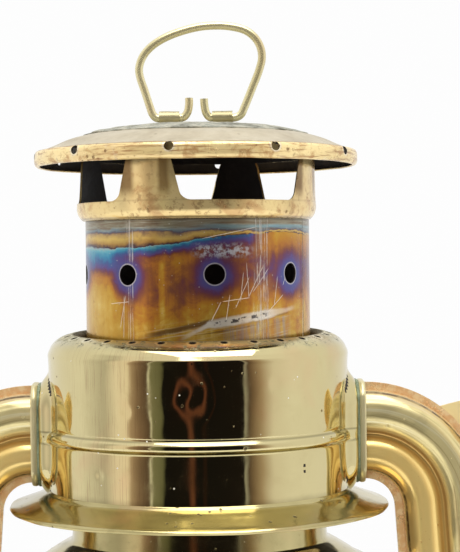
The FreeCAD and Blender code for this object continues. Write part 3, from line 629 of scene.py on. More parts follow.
m_polished = brass("polished_brass", YELLOW, YDARK, 0.10, 0.30, 0.22, 0.10, 0.08, 1.0)
m_crown = brass("crown_brass", YELLOW, YDARK, 0.038, 0.24, 0.16, 0.06, 0.05, 2.0, copper=0.25, extra=crown_wear)
def tube_wear(T, c, r, h, mt):
    # the outer lobe is paler and greener with painted reflection streaks along it, the inner one orange-gold, the seam
    # flanges coppery; painted shade darkens the lobe edges, the middle groove and the crease beside each flange
    s = T.split(T.obj)
    x = T.mul(T.math("ABSOLUTE", s[0]), 1000.0)
    z = T.mul(s[2], 1000.0)
    bx, bz = T.maxi(T.sub(x, 55.5), 0.0), T.maxi(T.sub(z, 206.25), 0.0)
    # d runs across the tube, 25.9 on its middle line: round the top bend, down the leaning run, round the lower bend
    d0 = T.math("SQRT", T.add(T.mul(bx, bx), T.mul(bz, bz)))
    d1 = T.add(T.mul(T.sub(x, 55.5), 0.99756), T.mul(T.sub(z, 206.25), 0.06976))
    d2 = T.sub(T.math("SQRT", T.add(T.math("POWER", T.math("ABSOLUTE", T.sub(x, 25.9)), 2.0), T.math("POWER", T.math("ABSOLUTE", T.sub(z, 120.62)), 2.0))), 35.5)
    w1 = T.math("GREATER_THAN", T.sub(T.mul(T.sub(x, 55.5), 0.06976), T.mul(T.sub(z, 206.25), 0.99756)), 0.0)
    w2 = T.math("GREATER_THAN", T.sub(T.mul(T.sub(x, 87.15), 0.06976), T.mul(T.sub(z, 124.9), 0.99756)), 0.0)
    d = T.add(T.mul(d0, T.sub(1.0, w1)), T.mul(w1, T.add(T.mul(d1, T.sub(1.0, w2)), T.mul(d2, w2))))
    low = T.smooth(z, 68.0, 74.0)
    nz = T.noise(T.obj, 60.0, 4.0, 0.6, 0.4, 71.0)
    nf = T.noise(T.obj, 420.0, 4.0, 0.65, 0.0, 72.0)
    seam = T.add(25.9, T.mul(T.sub(nz, 0.5), 2.4))
    outer = T.smooth(T.sub(d, seam), -1.2, 2.6)
    c = T.mix(T.mul(outer, 0.80), c, (0.76, 0.68, 0.36))
    c = T.mix(T.mul(outer, T.smooth(nz, 0.50, 0.64, 0.0, 0.6)), c, (0.58, 0.50, 0.26))
    # painted reflection: pale and dark streaks running along the outer lobe
    run = T.noise(T.combine(T.mul(d, 0.75), T.mul(z, 0.012), T.mul(x, 0.012)), 1.0, 4.0, 0.65, 0.0, 73.0)
    c = T.mix(T.mul(outer, T.smooth(run, 0.52, 0.64, 0.0, 0.65)), c, (0.42, 0.35, 0.15))
    c = T.mix(T.mul(outer, T.smooth(run, 0.46, 0.36, 0.0, 0.6)), c, (0.92, 0.86, 0.58))
    # painted shade: darker orange-brown along the edges of the lobes
    lobe_edge_shade = T.maxi(T.mul(band(T, d, 13.6, 0.4, 2.6), 0.8), T.maxi(band(T, d, 24.6, 0.4, 2.2), T.mul(band(T, d, 38.4, 0.2, 1.6), 0.6)))
    c = T.mix(T.mul(T.mul(lobe_edge_shade, low), 0.62), c, (0.50, 0.25, 0.04))
    # painted shade: a dark line in the groove between the lobes
    groove_shade = band(T, d, 26.0, 0.15, 0.5)
    c = T.mix(T.mul(groove_shade, 0.55), c, (0.26, 0.14, 0.04))
    fl = T.maxi(T.smooth(d, 12.9, 12.3), T.smooth(d, 39.0, 39.6))
    fl = T.mul(fl, T.mul(T.smooth(x, 53.0, 55.0), low))
    c = T.mix(T.mul(fl, 0.85), c, T.mix(T.smooth(nf, 0.40, 0.62), (0.82, 0.48, 0.22), (0.92, 0.68, 0.38)))
    # painted shade: a dark line in the crease where each lobe rises from its flange
    edge = T.maxi(band(T, d, 13.15, 0.10, 0.35), band(T, d, 38.85, 0.10, 0.35))
    c = T.mix(T.mul(T.mul(edge, low), T.smooth(nf, 0.34, 0.58, 0.45, 0.95)), c, (0.12, 0.065, 0.03))
    return c, T.add(r, T.mul(fl, 0.12)), T.add(h, T.mul(T.mul(fl, nf), -0.5)), T.sub(mt, T.mul(fl, 0.25))


m_tube = brass("tube_brass", (1.0, 0.75, 0.28), (0.90, 0.54, 0.14), 0.15, 0.30, 0.40, 0.05, 0.12, 12.0, copper=0.10, metal=0.55, extra=tube_wear)
m_ear = brass("ear_brass", (0.92, 0.76, 0.38), (0.82, 0.62, 0.27), 0.34, 0.35, 0.40, 0.06, 0.18, 19.0, copper=0.15, metal=0.22)
m_seam = brass("tube_seam", (0.72, 0.48, 0.27), (0.42, 0.26, 0.13), 0.22, 0.5, 0.6, 0.16, 0.12, 13.0, 260.0, copper=0.6)
m_skirt = brass("skirt_brass", (0.62, 0.53, 0.26), (0.26, 0.22, 0.09), 0.12, 0.45, 0.55, 0.16, 0.14, 14.0, 240.0, copper=0.25)
m_aged = brass("aged_brass", (0.62, 0.48, 0.28), (0.34, 0.24, 0.12), 0.24, 0.6, 0.55, 0.10, 0.16, 3.0, 300.0, 0.1)
m_wire = brass("satin_wire", (0.84, 0.77, 0.46), (0.56, 0.46, 0.21), 0.22, 0.25, 0.45, 0.08, 0.06, 5.0, copper=0.25, metal=0.66)
m_clip = brass("clip_brass", (0.50, 0.44, 0.25), (0.32, 0.27, 0.13), 0.34, 0.4, 0.6, 0.12, 0.14, 15.0, metal=0.60)
m_steel = brass("steel_wire", (0.50, 0.47, 0.40), (0.26, 0.22, 0.17), 0.32, 0.5, 0.6, 0.0, 0.05, 6.0)
def rim_wear(T, c, r, h, mt):
    # the metal pushed out round the ten notches, its pale lips a painted highlight, and painted shade: a dark line in
    # the crease under the dome's edge
    u, z, ang = polar_coords(T, 53.0)
    deg = T.mul(ang, 180.0 / pi)
    m = T.sub(T.math("FLOORED_MODULO", T.add(deg, 8.9 + 18.0), 36.0), 18.0)
    d = T.math("SQRT", T.add(T.math("POWER", T.mul(m, 0.925), 2.0), T.math("POWER", T.mul(T.sub(z, 324.5), 0.9), 2.0)))
    # painted highlight: a pale lip round each notch; the same mask raises it in the bump
    lip_highlight = T.mul(band(T, d, 1.75, 0.12, 0.35), T.smooth(z, 325.6, 324.8))
    c = T.mix(T.mul(lip_highlight, 0.8), c, (0.90, 0.80, 0.58))
    nz = T.noise(T.obj, 140.0, 4.0, 0.65, 0.0, 61.0)
    streak = T.noise(T.combine(T.mul(u, 0.12), T.mul(z, 1.3), 2.0), 1.0, 3.0, 0.6, 0.0, 62.0)
    s = T.smooth(streak, 0.50, 0.66)
    c = T.mix(T.mul(s, 0.70), c, (0.34, 0.16, 0.06))
    pale = T.smooth(nz, 0.56, 0.70)
    c = T.mix(T.mul(pale, 0.45), c, (0.86, 0.76, 0.54))
    bl = T.noise(T.obj, 190.0, 5.0, 0.7, 0.6, 74.0)
    c = T.mix(T.smooth(bl, 0.52, 0.66, 0.0, 0.7), c, (0.48, 0.25, 0.09))
    c = T.mix(T.smooth(T.noise(T.obj, 620.0, 4.0, 0.7, 0.0, 75.0), 0.58, 0.70, 0.0, 0.7), c, (0.22, 0.12, 0.05))
    # painted shade: a dark line in the crease under the dome's edge
    g = band(T, T.add(z, T.mul(T.sub(nz, 0.5), 0.8)), 325.65, 0.10, 0.25)
    c = T.mix(T.mul(g, 0.75), c, (0.12, 0.07, 0.035))
    return c, r, T.add(h, T.mul(lip_highlight, 1.2)), mt


m_rim = brass("rim_brass", (1.0, 0.80, 0.40), (0.66, 0.45, 0.18), 0.22, 0.6, 0.45, 0.08, 0.16, 16.0, 330.0, copper=0.30, metal=0.42, extra=rim_wear)


def matte(name, stops, rough, metal, noise_size, bump, seed, spots=0.0, spot_col=(0.2, 0.15, 0.08)):
    """Dull, weathered metal: a soft mix of colours with a fine grain."""
    m, T = new_mat(name)
    a = T.noise(T.obj, noise_size, 5.0, 0.62, 0.3, seed)
    b = T.noise(T.obj, noise_size * 7.0, 4.0, 0.6, 0.0, seed + 2)
    f = T.add(T.mul(a, 0.75), T.mul(b, 0.25))
    c = T.ramp(f, stops)
    if spots:
        vd = T.voronoi(T.obj, 330.0, seed=seed)
        s = T.mul(T.smooth(vd, 0.1, 0.22, 1.0, 0.0), T.smooth(T.noise(T.obj, 110.0, 2.0, 0.5, 0.0, seed + 4), 0.52, 0.66))
        c = T.mix(T.mul(s, spots), c, spot_col)
    T.put(T.bsdf.inputs["Base Color"], c)
    T.put(T.bsdf.inputs["Metallic"], metal)
    T.put(T.bsdf.inputs["Roughness"], T.add(rough - 0.1, T.mul(b, 0.2)))
    n = T.bump(a, bump, 0.0016)
    n = T.bump(b, bump, 0.0003, n)
    T.put(T.bsdf.inputs["Normal"], n)
    return m


m_dome = matte("dome_bloom", [(0.30, (0.37, 0.31, 0.21)), (0.47, (0.49, 0.43, 0.31)), (0.62, (0.57, 0.51, 0.385)), (0.78, (0.41, 0.35, 0.235))], 0.50, 0.45, 60.0, 0.10, 41.0, 0.5)
m_disc = matte("dull_disc", [(0.34, (0.13, 0.12, 0.09)), (0.46, (0.31, 0.31, 0.25)), (0.55, (0.48, 0.46, 0.37)), (0.62, (0.27, 0.28, 0.23)), (0.75, (0.50, 0.49, 0.40))], 0.72, 0.25, 150.0, 0.8, 42.0, 0.5)
m_soot = matte("soot", [(0.35, (0.012, 0.009, 0.008)), (0.55, (0.028, 0.020, 0.016)), (0.72, (0.055, 0.040, 0.030))], 0.62, 0.30, 80.0, 0.3, 43.0)
m_verdigris = matte("verdigris", [(0.30, (0.07, 0.08, 0.05)), (0.48, (0.20, 0.25, 0.16)), (0.62, (0.36, 0.42, 0.28)), (0.78, (0.16, 0.16, 0.09))], 0.55, 0.35, 160.0, 0.5, 44.0)


def simple(name, col, rough, metallic=0.0):
    m, T = new_mat(name)
    nz = T.noise(T.obj, 300.0, 4.0, 0.6)
    c = T.mix(T.smooth(nz, 0.3, 0.75), col, tuple(v * 0.7 for v in col))
    T.put(T.bsdf.inputs["Base Color"], c)
    T.bsdf.inputs["Metallic"].default_value = metallic
    T.bsdf.inputs["Roughness"].default_value = rough
    T.put(T.bsdf.inputs["Normal"], T.bump(nz, 0.3, 0.0003))
    return m


m_cotton = simple("wick_cotton", (0.72, 0.66, 0.52), 0.9)
m_gasket = simple("gasket_rubber", (0.03, 0.028, 0.025), 0.7)


def glass():
    m, T = new_mat("clear_glass")
    T.bsdf.inputs["Base Color"].default_value = (0.96, 0.985, 0.97, 1)
    T.bsdf.inputs["Transmission Weight"].default_value = 1.0
    T.bsdf.inputs["IOR"].default_value = 1.5
    nz = T.noise(T.obj, 30.0, 2.0, 0.5)
    T.put(T.bsdf.inputs["Roughness"], T.lin(nz, 0.3, 0.8, 0.0, 0.04))
    T.put(T.bsdf.inputs["Normal"], T.bump(nz, 0.06, 0.002))
    return m


m_glass = glass()


def heat_tint():
    """The chimney sleeve: temper colours from the flame's heat, hottest at the top, broken by slanting streaks, scratches and rubbed bands."""
    m, T = new_mat("heat_tint")
    u, z, ang = polar_coords(T, 37.23)
    deg = T.mul(ang, 180.0 / pi)

    def centred(v, scale, detail, rough, distort, seed, gain=1.0):
        return T.mul(T.sub(T.noise(v, scale, detail, rough, distort, seed), 0.5), gain)

    def profile(s, stops):
        top = stops[-1][0]
        return T.ramp(T.lin(s, 0.0, top), [(a / top, (b, b, b)) for a, b in stops])

    n1 = centred(T.obj, 45.0, 4.0, 0.6, 0.6, 51.0)
    n2 = centred(T.combine(T.mul(u, 0.05), T.mul(z, 0.30), 1.0), 1.0, 3.0, 0.6, 0.0, 52.0)
    n3 = centred(T.obj, 260.0, 4.0, 0.65, 0.0, 53.0)
    n4 = centred(T.obj, 150.0, 5.0, 0.68, 0.8, 60.0)
    zz = T.add(z, T.add(T.mul(n1, 3.2), T.add(T.mul(n2, 2.0), T.mul(n3, 1.6))))
    right = T.smooth(deg, -40.0, 34.0)
    zA = T.add(298.2, T.mul(T.noise(T.combine(T.mul(u, 0.06), 0.0, 7.0), 1.0, 2.0, 0.5), 0.8))
    zB = T.add(293.7, T.mul(right, 4.0))                       # lower dark line, rising to the right
    s = T.maxi(T.sub(zB, zz), 0.0)                             # depth below the dark line, mm
    dn = T.add(deg, T.mul(n1, 26.0))
    left = profile(s, [(0.0, 0.825), (0.7, 0.79), (2.2, 0.745), (4.6, 0.70), (6.3, 0.62), (7.6, 0.54), (8.6, 0.42), (9.8, 0.32), (12.0, 0.245), (18.0, 0.18), (24.0, 0.20), (29.0, 0.24), (34.0, 0.30)])
    mid = profile(s, [(0.0, 0.80), (0.6, 0.74), (1.5, 0.68), (2.7, 0.58), (3.7, 0.44), (5.8, 0.33), (8.5, 0.40), (14.0, 0.43), (19.0, 0.39), (22.5, 0.31), (26.0, 0.24), (34.0, 0.22)])
    rgt = profile(s, [(0.0, 0.70), (1.0, 0.64), (2.2, 0.58), (4.0, 0.51), (7.5, 0.45), (12.5, 0.49), (16.5, 0.42), (20.0, 0.31), (25.0, 0.24), (34.0, 0.20)])
    far = T.add(0.27, T.mul(T.smooth(T.math("ABSOLUTE", T.sub(zz, 286.0)), 1.0, 12.0, 1.0, 0.0), 0.27))
    low = T.mix(T.smooth(dn, -50.0, -32.0), left, mid)
    low = T.mix(T.smooth(dn, -4.0, 12.0), low, rgt)
    low = T.add(T.mul(low, 1.0), 0.0)
    fr = T.smooth(dn, 26.0, 40.0)
    low = T.add(T.mul(low, T.sub(1.0, fr)), T.mul(far, fr))
    # mottling and rubbed vertical streaks, weak where the bands are clean
    vs = centred(T.combine(T.mul(u, 0.42), T.mul(z, 0.035), 3.0), 1.0, 3.0, 0.6, 0.0, 66.0)
    rough_zone = T.add(0.45, T.mul(T.smooth(deg, -52.0, -28.0), 0.55))
    low = T.add(low, T.mul(T.mul(rough_zone, T.smooth(s, 1.0, 6.5, 0.35, 1.0)), T.add(T.mul(n4, 0.42), T.add(T.mul(vs, 0.22), T.mul(n3, 0.14)))))
    low = T.sub(low, T.mul(band(T, u, -11.4, 0.3, 1.1), T.mul(T.smooth(z, 292.0, 286.0), T.mul(T.smooth(z, 268.0, 274.0), 0.16))))
    # halos round the holes
    halo = None
    for k in range(-3, 4):
        a = 8.5 + 45.0 * k
        d = T.math("SQRT", T.add(T.math("POWER", T.sub(u, radians(a) * 37.23), 2.0), T.math("POWER", T.sub(z, 284.6), 2.0)))
        hm = T.smooth(T.add(d, T.add(T.mul(n1, 7.0), T.mul(n4, 6.0))), 3.2, 10.0, 1.0, 0.0)
        halo = hm if halo is None else T.maxi(halo, hm)
    low = T.add(T.mul(low, T.sub(1.0, T.mul(halo, 0.92))), T.mul(T.mul(halo, 0.92), 0.66))
    low = T.mini(T.maxi(low, 0.04), 0.825)
    above = T.lin(zz, zA, T.add(zA, 2.2), 0.955, 1.0)
    between = T.add(T.lin(T.add(zz, T.mul(n4, 2.4)), zB, zA, 0.845, 0.95), 0.0)
    isA = T.math("GREATER_THAN", zz, zA)
    isB = T.math("GREATER_THAN", zz, zB)
    H = T.add(T.mul(low, T.sub(1.0, isB)), T.add(T.mul(between, T.sub(isB, isA)), T.mul(above, isA)))
    c = T.ramp(H, [
        (0.00, (0.86, 0.80, 0.58)), (0.08, (0.80, 0.64, 0.25)), (0.16, (0.68, 0.45, 0.10)), (0.23, (0.58, 0.33, 0.045)), (0.30, (0.52, 0.235, 0.03)), (0.37, (0.44, 0.17, 0.035)),
        (0.43, (0.31, 0.115, 0.04)), (0.50, (0.22, 0.07, 0.06)), (0.56, (0.15, 0.055, 0.12)), (0.62, (0.11, 0.08, 0.25)), (0.68, (0.06, 0.12, 0.30)), (0.73, (0.05, 0.26, 0.42)),
        (0.78, (0.14, 0.42, 0.50)), (0.81, (0.34, 0.46, 0.44)), (0.832, (0.10, 0.09, 0.14)), (0.85, (0.07, 0.04, 0.05)), (0.872, (0.42, 0.24, 0.07)), (0.905, (0.68, 0.47, 0.13)), (0.93, (0.52, 0.35, 0.13)),
        (0.945, (0.34, 0.22, 0.12)), (0.955, (0.12, 0.08, 0.10)), (0.968, (0.20, 0.27, 0.30)), (0.985, (0.30, 0.31, 0.25)), (1.0, (0.29, 0.26, 0.18))])
    # the grey top band: mottled brown, with a thin bluish line on the right
    gt = T.smooth(z, 298.4, 299.4)
    hs = T.noise(T.combine(T.mul(u, 0.10), T.mul(z, 1.5), 2.0), 1.0, 4.0, 0.65, 0.0, 67.0)
    c = T.mix(T.mul(gt, T.smooth(hs, 0.46, 0.62, 0.0, 0.75)), c, (0.20, 0.13, 0.08))
    c = T.mix(T.mul(gt, T.smooth(hs, 0.44, 0.34, 0.0, 0.5)), c, (0.52, 0.50, 0.42))
    bl = T.mul(band(T, T.add(z, T.mul(n2, 1.5)), 300.0, 0.15, 0.7), T.smooth(deg, -6.0, 14.0))
    c = T.mix(T.mul(bl, 0.6), c, (0.22, 0.40, 0.46))
    # pale blue-white bloom between the dark line and the middle hole
    wb = T.mul(T.mul(band(T, T.add(z, T.mul(n4, 3.0)), 292.4, 0.4, 2.6), T.mul(T.smooth(u, -3.0, 3.0), T.smooth(u, 20.0, 14.0))), T.smooth(T.noise(T.obj, 700.0, 4.0, 0.7, 0.0, 69.0), 0.44, 0.60))
    c = T.mix(T.mul(wb, 0.8), c, (0.66, 0.70, 0.76))
    # slanting streaks
    qe = T.sub(z, T.mul(u, 0.14))
    fine_s = T.noise(T.combine(T.mul(u, 0.045), T.mul(qe, 1.15), 8.0), 1.0, 4.0, 0.65, 0.0, 68.0)
    fz = T.mul(T.smooth(qe, 271.5, 269.0), T.mul(T.smooth(u, -24.0, -8.0), T.smooth(u, 37.0, 28.0)))
    c = T.mix(T.mul(fz, T.smooth(fine_s, 0.52, 0.66, 0.0, 0.7)), c, (0.16, 0.075, 0.03))
    c = T.mix(T.mul(fz, T.smooth(fine_s, 0.46, 0.34, 0.0, 0.65)), c, (0.74, 0.66, 0.46))
    dk = T.mul(band(T, T.add(T.sub(z, T.mul(u, 0.22)), T.mul(n4, 1.4)), 269.3, 0.35, 0.9), T.mul(T.smooth(u, -21.0, -12.0), T.smooth(u, 8.0, 2.0)))
    c = T.mix(T.mul(dk, 0.8), c, (0.11, 0.05, 0.022))
    bend = T.mul(T.maxi(T.sub(3.6, u), 0.0), 0.38)
    qs = T.add(T.sub(qe, 268.9), bend)
    wid = T.add(0.20, T.mul(T.mul(T.smooth(u, 1.0, 6.0), T.smooth(u, 34.0, 22.0)), 0.75))
    body = T.smooth(T.math("ABSOLUTE", T.add(qs, T.mul(n4, 1.6))), wid, T.add(wid, 0.9), 1.0, 0.0)
    body = T.mul(body, T.mul(T.smooth(u, -8.0, 3.0), T.smooth(u, 38.5, 34.0)))
    c = T.mix(T.mul(T.mul(body, T.smooth(fine_s, 0.30, 0.50, 0.45, 1.0)), T.smooth(u, 22.0, 30.0, 0.88, 0.40)), c, (0.84, 0.79, 0.68))
    fleck = T.mul(T.mul(T.smooth(T.noise(T.obj, 420.0, 3.0, 0.6, 0.0, 70.0), 0.52, 0.58), band(T, T.add(qs, T.mul(n4, 1.6)), 0.0, 0.35, 0.45)), T.mul(T.smooth(u, 4.5, 6.5), T.smooth(u, 25.0, 22.0)))
    c = T.mix(T.mul(fleck, 0.95), c, (0.06, 0.05, 0.05))
    mauve = T.mul(T.mul(T.smooth(z, 261.6, 263.0), T.smooth(qs, -1.2, -2.6)), T.mul(T.smooth(u, 6.0, 11.0), T.smooth(u, 30.0, 36.0, 1.0, 0.0)))
    vn = T.noise(T.combine(T.mul(u, 1.1), T.mul(z, 0.06), 5.0), 1.0, 3.0, 0.6, 0.0, 54.0)
    c = T.mix(T.mul(mauve, T.smooth(vn, 0.40, 0.62, 0.1, 0.7)), c, (0.34, 0.28, 0.26))
    # fleck and fine rubbing
    vd = T.voronoi(T.obj, 520.0, seed=5.0)
    fl = T.mul(T.smooth(vd, 0.05, 0.13, 1.0, 0.0), T.smooth(T.noise(T.obj, 120.0, 2.0, 0.5, 0.0, 57.0), 0.42, 0.58))
    c = T.mix(T.mul(fl, 0.7), c, (0.72, 0.68, 0.60))
    c = T.mix(T.mul(T.smooth(n3, 0.05, 0.28), 0.35), c, (0.10, 0.05, 0.03))
    rub = T.noise(T.combine(T.mul(u, 2.6), T.mul(z, 0.05), 9.0), 1.0, 4.0, 0.7, 0.0, 55.0)
    worn = T.maxi(band(T, u, -22.6, 0.6, 1.6), T.maxi(T.mul(band(T, u, 21.6, 1.6, 2.2), 1.0), T.mul(band(T, u, 43.0, 0.2, 0.8), 0.6)))
    along = T.noise(T.combine(T.mul(u, 0.5), T.mul(z, 0.22), 4.0), 1.0, 2.0, 0.6, 0.0, 59.0)
    scr = T.mul(T.mul(worn, T.smooth(rub, 0.48, 0.62)), T.smooth(along, 0.36, 0.56, 0.15, 0.9))
    # single scratches
    lines = [((4.2, 270.3), (7.6, 276.6), 0.07), ((7.6, 276.4), (17.5, 277.6), 0.06), ((16.5, 277.4), (22.3, 288.0), 0.07), ((12.0, 274.0), (17.2, 284.5), 0.05),
             ((18.0, 279.0), (24.5, 287.0), 0.05), ((13.8, 276.0), (15.0, 286.0), 0.04), ((20.5, 281.0), (21.2, 291.5), 0.05), ((24.0, 273.0), (31.0, 278.5), 0.05),
             ((9.0, 270.5), (10.4, 279.0), 0.05), ((26.5, 274.5), (28.2, 284.5), 0.05), ((-27.0, 268.0), (-24.5, 279.0), 0.05), ((-25.5, 264.5), (-25.2, 279.0), 0.05),
             ((-31.5, 275.9), (-22.6, 276.6), 0.05), ((16.8, 277.0), (16.0, 289.0), 0.04), ((30.5, 281.0), (34.0, 288.0), 0.04), ((1.0, 296.0), (21.0, 300.0), 0.04)]
    wig = T.mul(n3, 0.35)
    for a, b, w in lines:
        scr = T.maxi(scr, segment(T, u, z, a, b, w, 0.10, wig))
    c = T.mix(T.mul(scr, 0.75), c, (0.80, 0.76, 0.70))
    # painted highlight: bright lips of the holes; grime at the lap seam; painted shade at both ends, under the vent
    # band's foot and where the sleeve goes into the crown
    hd = None
    for k in range(-3, 4):
        d = T.math("SQRT", T.add(T.math("POWER", T.sub(u, radians(8.5 + 45.0 * k) * 37.23), 2.0), T.math("POWER", T.sub(z, 285.0), 2.0)))
        hd = d if hd is None else T.mini(hd, d)
    # painted highlight: a pale ring on the rim of each hole
    c = T.mix(T.mul(band(T, hd, 3.42, 0.10, 0.22), 0.6), c, (0.66, 0.62, 0.58))
    seam = band(T, u, 43.2, 0.06, 0.35)
    c = T.mix(T.mul(seam, 0.7), c, (0.05, 0.035, 0.02))
    # painted shade: darker at the top end, under the vent band, and at the foot, where the sleeve goes into the crown
    c = T.mix(T.mul(T.smooth(z, 301.6, 302.4), 0.6), c, (0.10, 0.08, 0.05))
    c = T.mix(T.mul(T.smooth(T.add(z, T.mul(n3, 1.0)), 262.4, 261.4), 0.6), c, (0.14, 0.09, 0.04))
    T.put(T.bsdf.inputs["Base Color"], c)
    T.bsdf.inputs["Metallic"].default_value = 0.66
    r = T.add(0.20, T.add(T.mul(scr, 0.2), T.mul(T.math("ABSOLUTE", n3), 0.3)))
    T.put(T.bsdf.inputs["Roughness"], r)
    n = T.bump(T.noise(T.obj, 30.0, 2.0, 0.5, 0.0, 58.0), 0.05, 0.004)
    n = T.bump(T.add(T.mul(scr, -1.0), T.mul(fl, 0.4)), 0.35, 0.0001, n)
    T.put(T.bsdf.inputs["Normal"], n)
    return m


m_tint = heat_tint()
BY_SLOT = {"polished_brass": m_polished, "aged_brass": m_aged, "dull_disc": m_disc, "heat_tint": m_tint, "satin_wire": m_wire,
           "steel_wire": m_steel, "clear_glass": m_glass, "wick_cotton": m_cotton, "gasket_rubber": m_gasket}
slot_of = {s["node"]: s["material_slot"] for s in frame["record"]["subparts"]}


def paint(obj, mat):
    for s in obj.material_slots:
        s.material = mat


for name, obj in frame["nodes"].items():
    mat = BY_SLOT.get(slot_of.get(name), m_polished)
    if not obj.material_slots:
        obj.data.materials.append(mat)
    paint(obj, mat)
for n in ("tube_front_left", "tube_front_right", "tube_rear_left", "tube_rear_right", "bail_ear_left", "bail_ear_right"):
    paint(frame["nodes"][n], m_ear if "ear" in n else m_tube)

# ------------------------------------------------------------------ hood
dome_line = [(2.6, 332.95), (12.0, 332.95), (20.0, 332.8), (23.9, 332.6), (28.5, 332.2), (33.0, 331.5), (37.5, 330.6), (41.0, 329.75), (44.0, 328.7), (47.0, 327.3),
             (50.0, 326.1), (51.0, 325.7), (51.5, 325.35, 1), (51.9, 325.35), (52.5, 325.5), (53.1, 325.2), (53.5, 324.5), (53.6, 323.2), (53.58, 321.8), (53.3, 320.9), (52.7, 320.4), (52.2, 320.35)]


def canopy_warp(a, r, z, back):
    x, y = r * sin(a), -r * cos(a)
    k = sstep(r, 10.0, 50.0)
    z += 0.16 * wobble(x, y, z, 19.0, 1.0) * k + 0.07 * wobble(x, y, z, 7.0, 2.0)
    r += (0.10 * wobble(x, y, 0.0, 13.0, 3.0) - 0.06) * sstep(r, 48.0, 53.0)
    return r, z


canopy = lathe("canopy_dome", *(lambda lb: (lb[0], [m_dome, m_soot, m_rim], lb[1]))(sheet(curve(dome_line, 1.0), 0.6, -1.0)), warp=canopy_warp)
for p in canopy.data.polygons:
    c = p.center
    if p.material_index == 0 and hypot(c.x, c.y) > 0.05095:
        p.material_index = 2
notch = []
for k in range(10):
    a = -8.9 + 36.0 * k
    notch.append(rod_geo(pol(49.6, a, 324.15), pol(1, a), 1.45, 8.0, 24))
cut(canopy, notch, 1)
piece(canopy, "hood", ["canopy"])


def disc_warp(a, r, z, back):
    x, y = r * sin(a), -r * cos(a)
    e = sstep(r, 26.0, 36.0)
    r2 = r * (1 + e * (0.045 * wobble(x, y, 0, 9.0, 4.0) + 0.02 * wobble(x, y, 0, 3.0, 5.0)))
    z += 0.30 * wobble(x, y, z, 6.5, 6.0) + 0.16 * wobble(x, y, z, 2.6, 7.0) + 0.1
    return r2, z


disc_line = [(2.8, 333.75), (12.0, 333.85), (20.0, 333.65), (24.0, 333.4), (28.5, 332.9), (32.0, 332.2), (35.0, 331.45), (36.5, 330.95)]
disc = lathe("canopy_disc", *(lambda lb: (lb[0], [m_disc], None))(sheet(curve(disc_line, 0.8), 0.5, -1.0)), warp=disc_warp)
piece(disc, "hood", ["canopy_cap"])

tent_line = [(37.35, 302.55), (37.75, 302.65), (38.35, 303.15), (38.95, 303.95), (39.4, 304.9), (39.65, 306.0), (39.72, 307.2), (39.62, 308.3), (39.6, 309.5), (39.65, 316.0), (39.75, 322.0), (39.9, 326.0), (40.2, 329.0)]


def tent_warp(a, r, z, back):
    x, y = r * sin(a), -r * cos(a)
    return r + 0.10 * wobble(x, y, z, 11.0, 8.0) + 0.04 * wobble(x, y, z, 4.0, 9.0), z


def tent_wear(T, c, r, h, mt):
    # fine speckle of old lacquer, denser and darker towards the foot of the posts
    u, z, ang = polar_coords(T, 39.7)
    nz = T.noise(T.obj, 420.0, 5.0, 0.7, 0.0, 63.0)
    big = T.noise(T.obj, 55.0, 3.0, 0.55, 0.0, 64.0)
    low = T.smooth(T.add(z, T.mul(T.sub(big, 0.5), 14.0)), 316.0, 303.0)
    s = T.mul(T.smooth(nz, 0.52, 0.64), T.add(0.28, T.mul(low, 0.40)))
    c = T.mix(s, c, (0.28, 0.15, 0.06))
    cpr = T.noise(T.obj, 130.0, 4.0, 0.65, 0.4, 76.0)
    c = T.mix(T.smooth(cpr, 0.52, 0.66, 0.0, 0.6), c, (0.58, 0.32, 0.13))
    c = T.mix(T.mul(T.smooth(big, 0.52, 0.72), 0.5), c, (0.42, 0.31, 0.15))
    deg = T.mul(ang, 180.0 / pi)
    side = T.sub(T.math("FLOORED_MODULO", T.add(deg, 22.6 + 45.0), 90.0), 45.0)        # -45..45 across each post
    up = T.smooth(z, 308.0, 313.0)
    e = T.add(side, T.mul(T.sub(big, 0.5), 5.0))
    # painted reflection: dark brown vertical bands near both sides of each post
    post_reflection_bands = T.mul(T.maxi(band(T, e, -11.0, 2.0, 3.4), T.mul(band(T, e, 8.2, 1.2, 3.0), 0.9)), up)
    c = T.mix(T.mul(post_reflection_bands, 0.85), c, (0.20, 0.10, 0.03))
    # painted shade: dark lines in the crease under the rolled foot and at the window sills
    crease_shade_lines = T.maxi(band(T, z, 303.0, 0.05, 0.6), T.mul(band(T, z, 308.3, 0.02, 0.5), 0.4))
    c = T.mix(T.mul(crease_shade_lines, 0.5), c, (0.16, 0.10, 0.05))
    return c, T.add(r, T.mul(s, 0.2)), T.add(h, T.mul(nz, -0.6)), mt


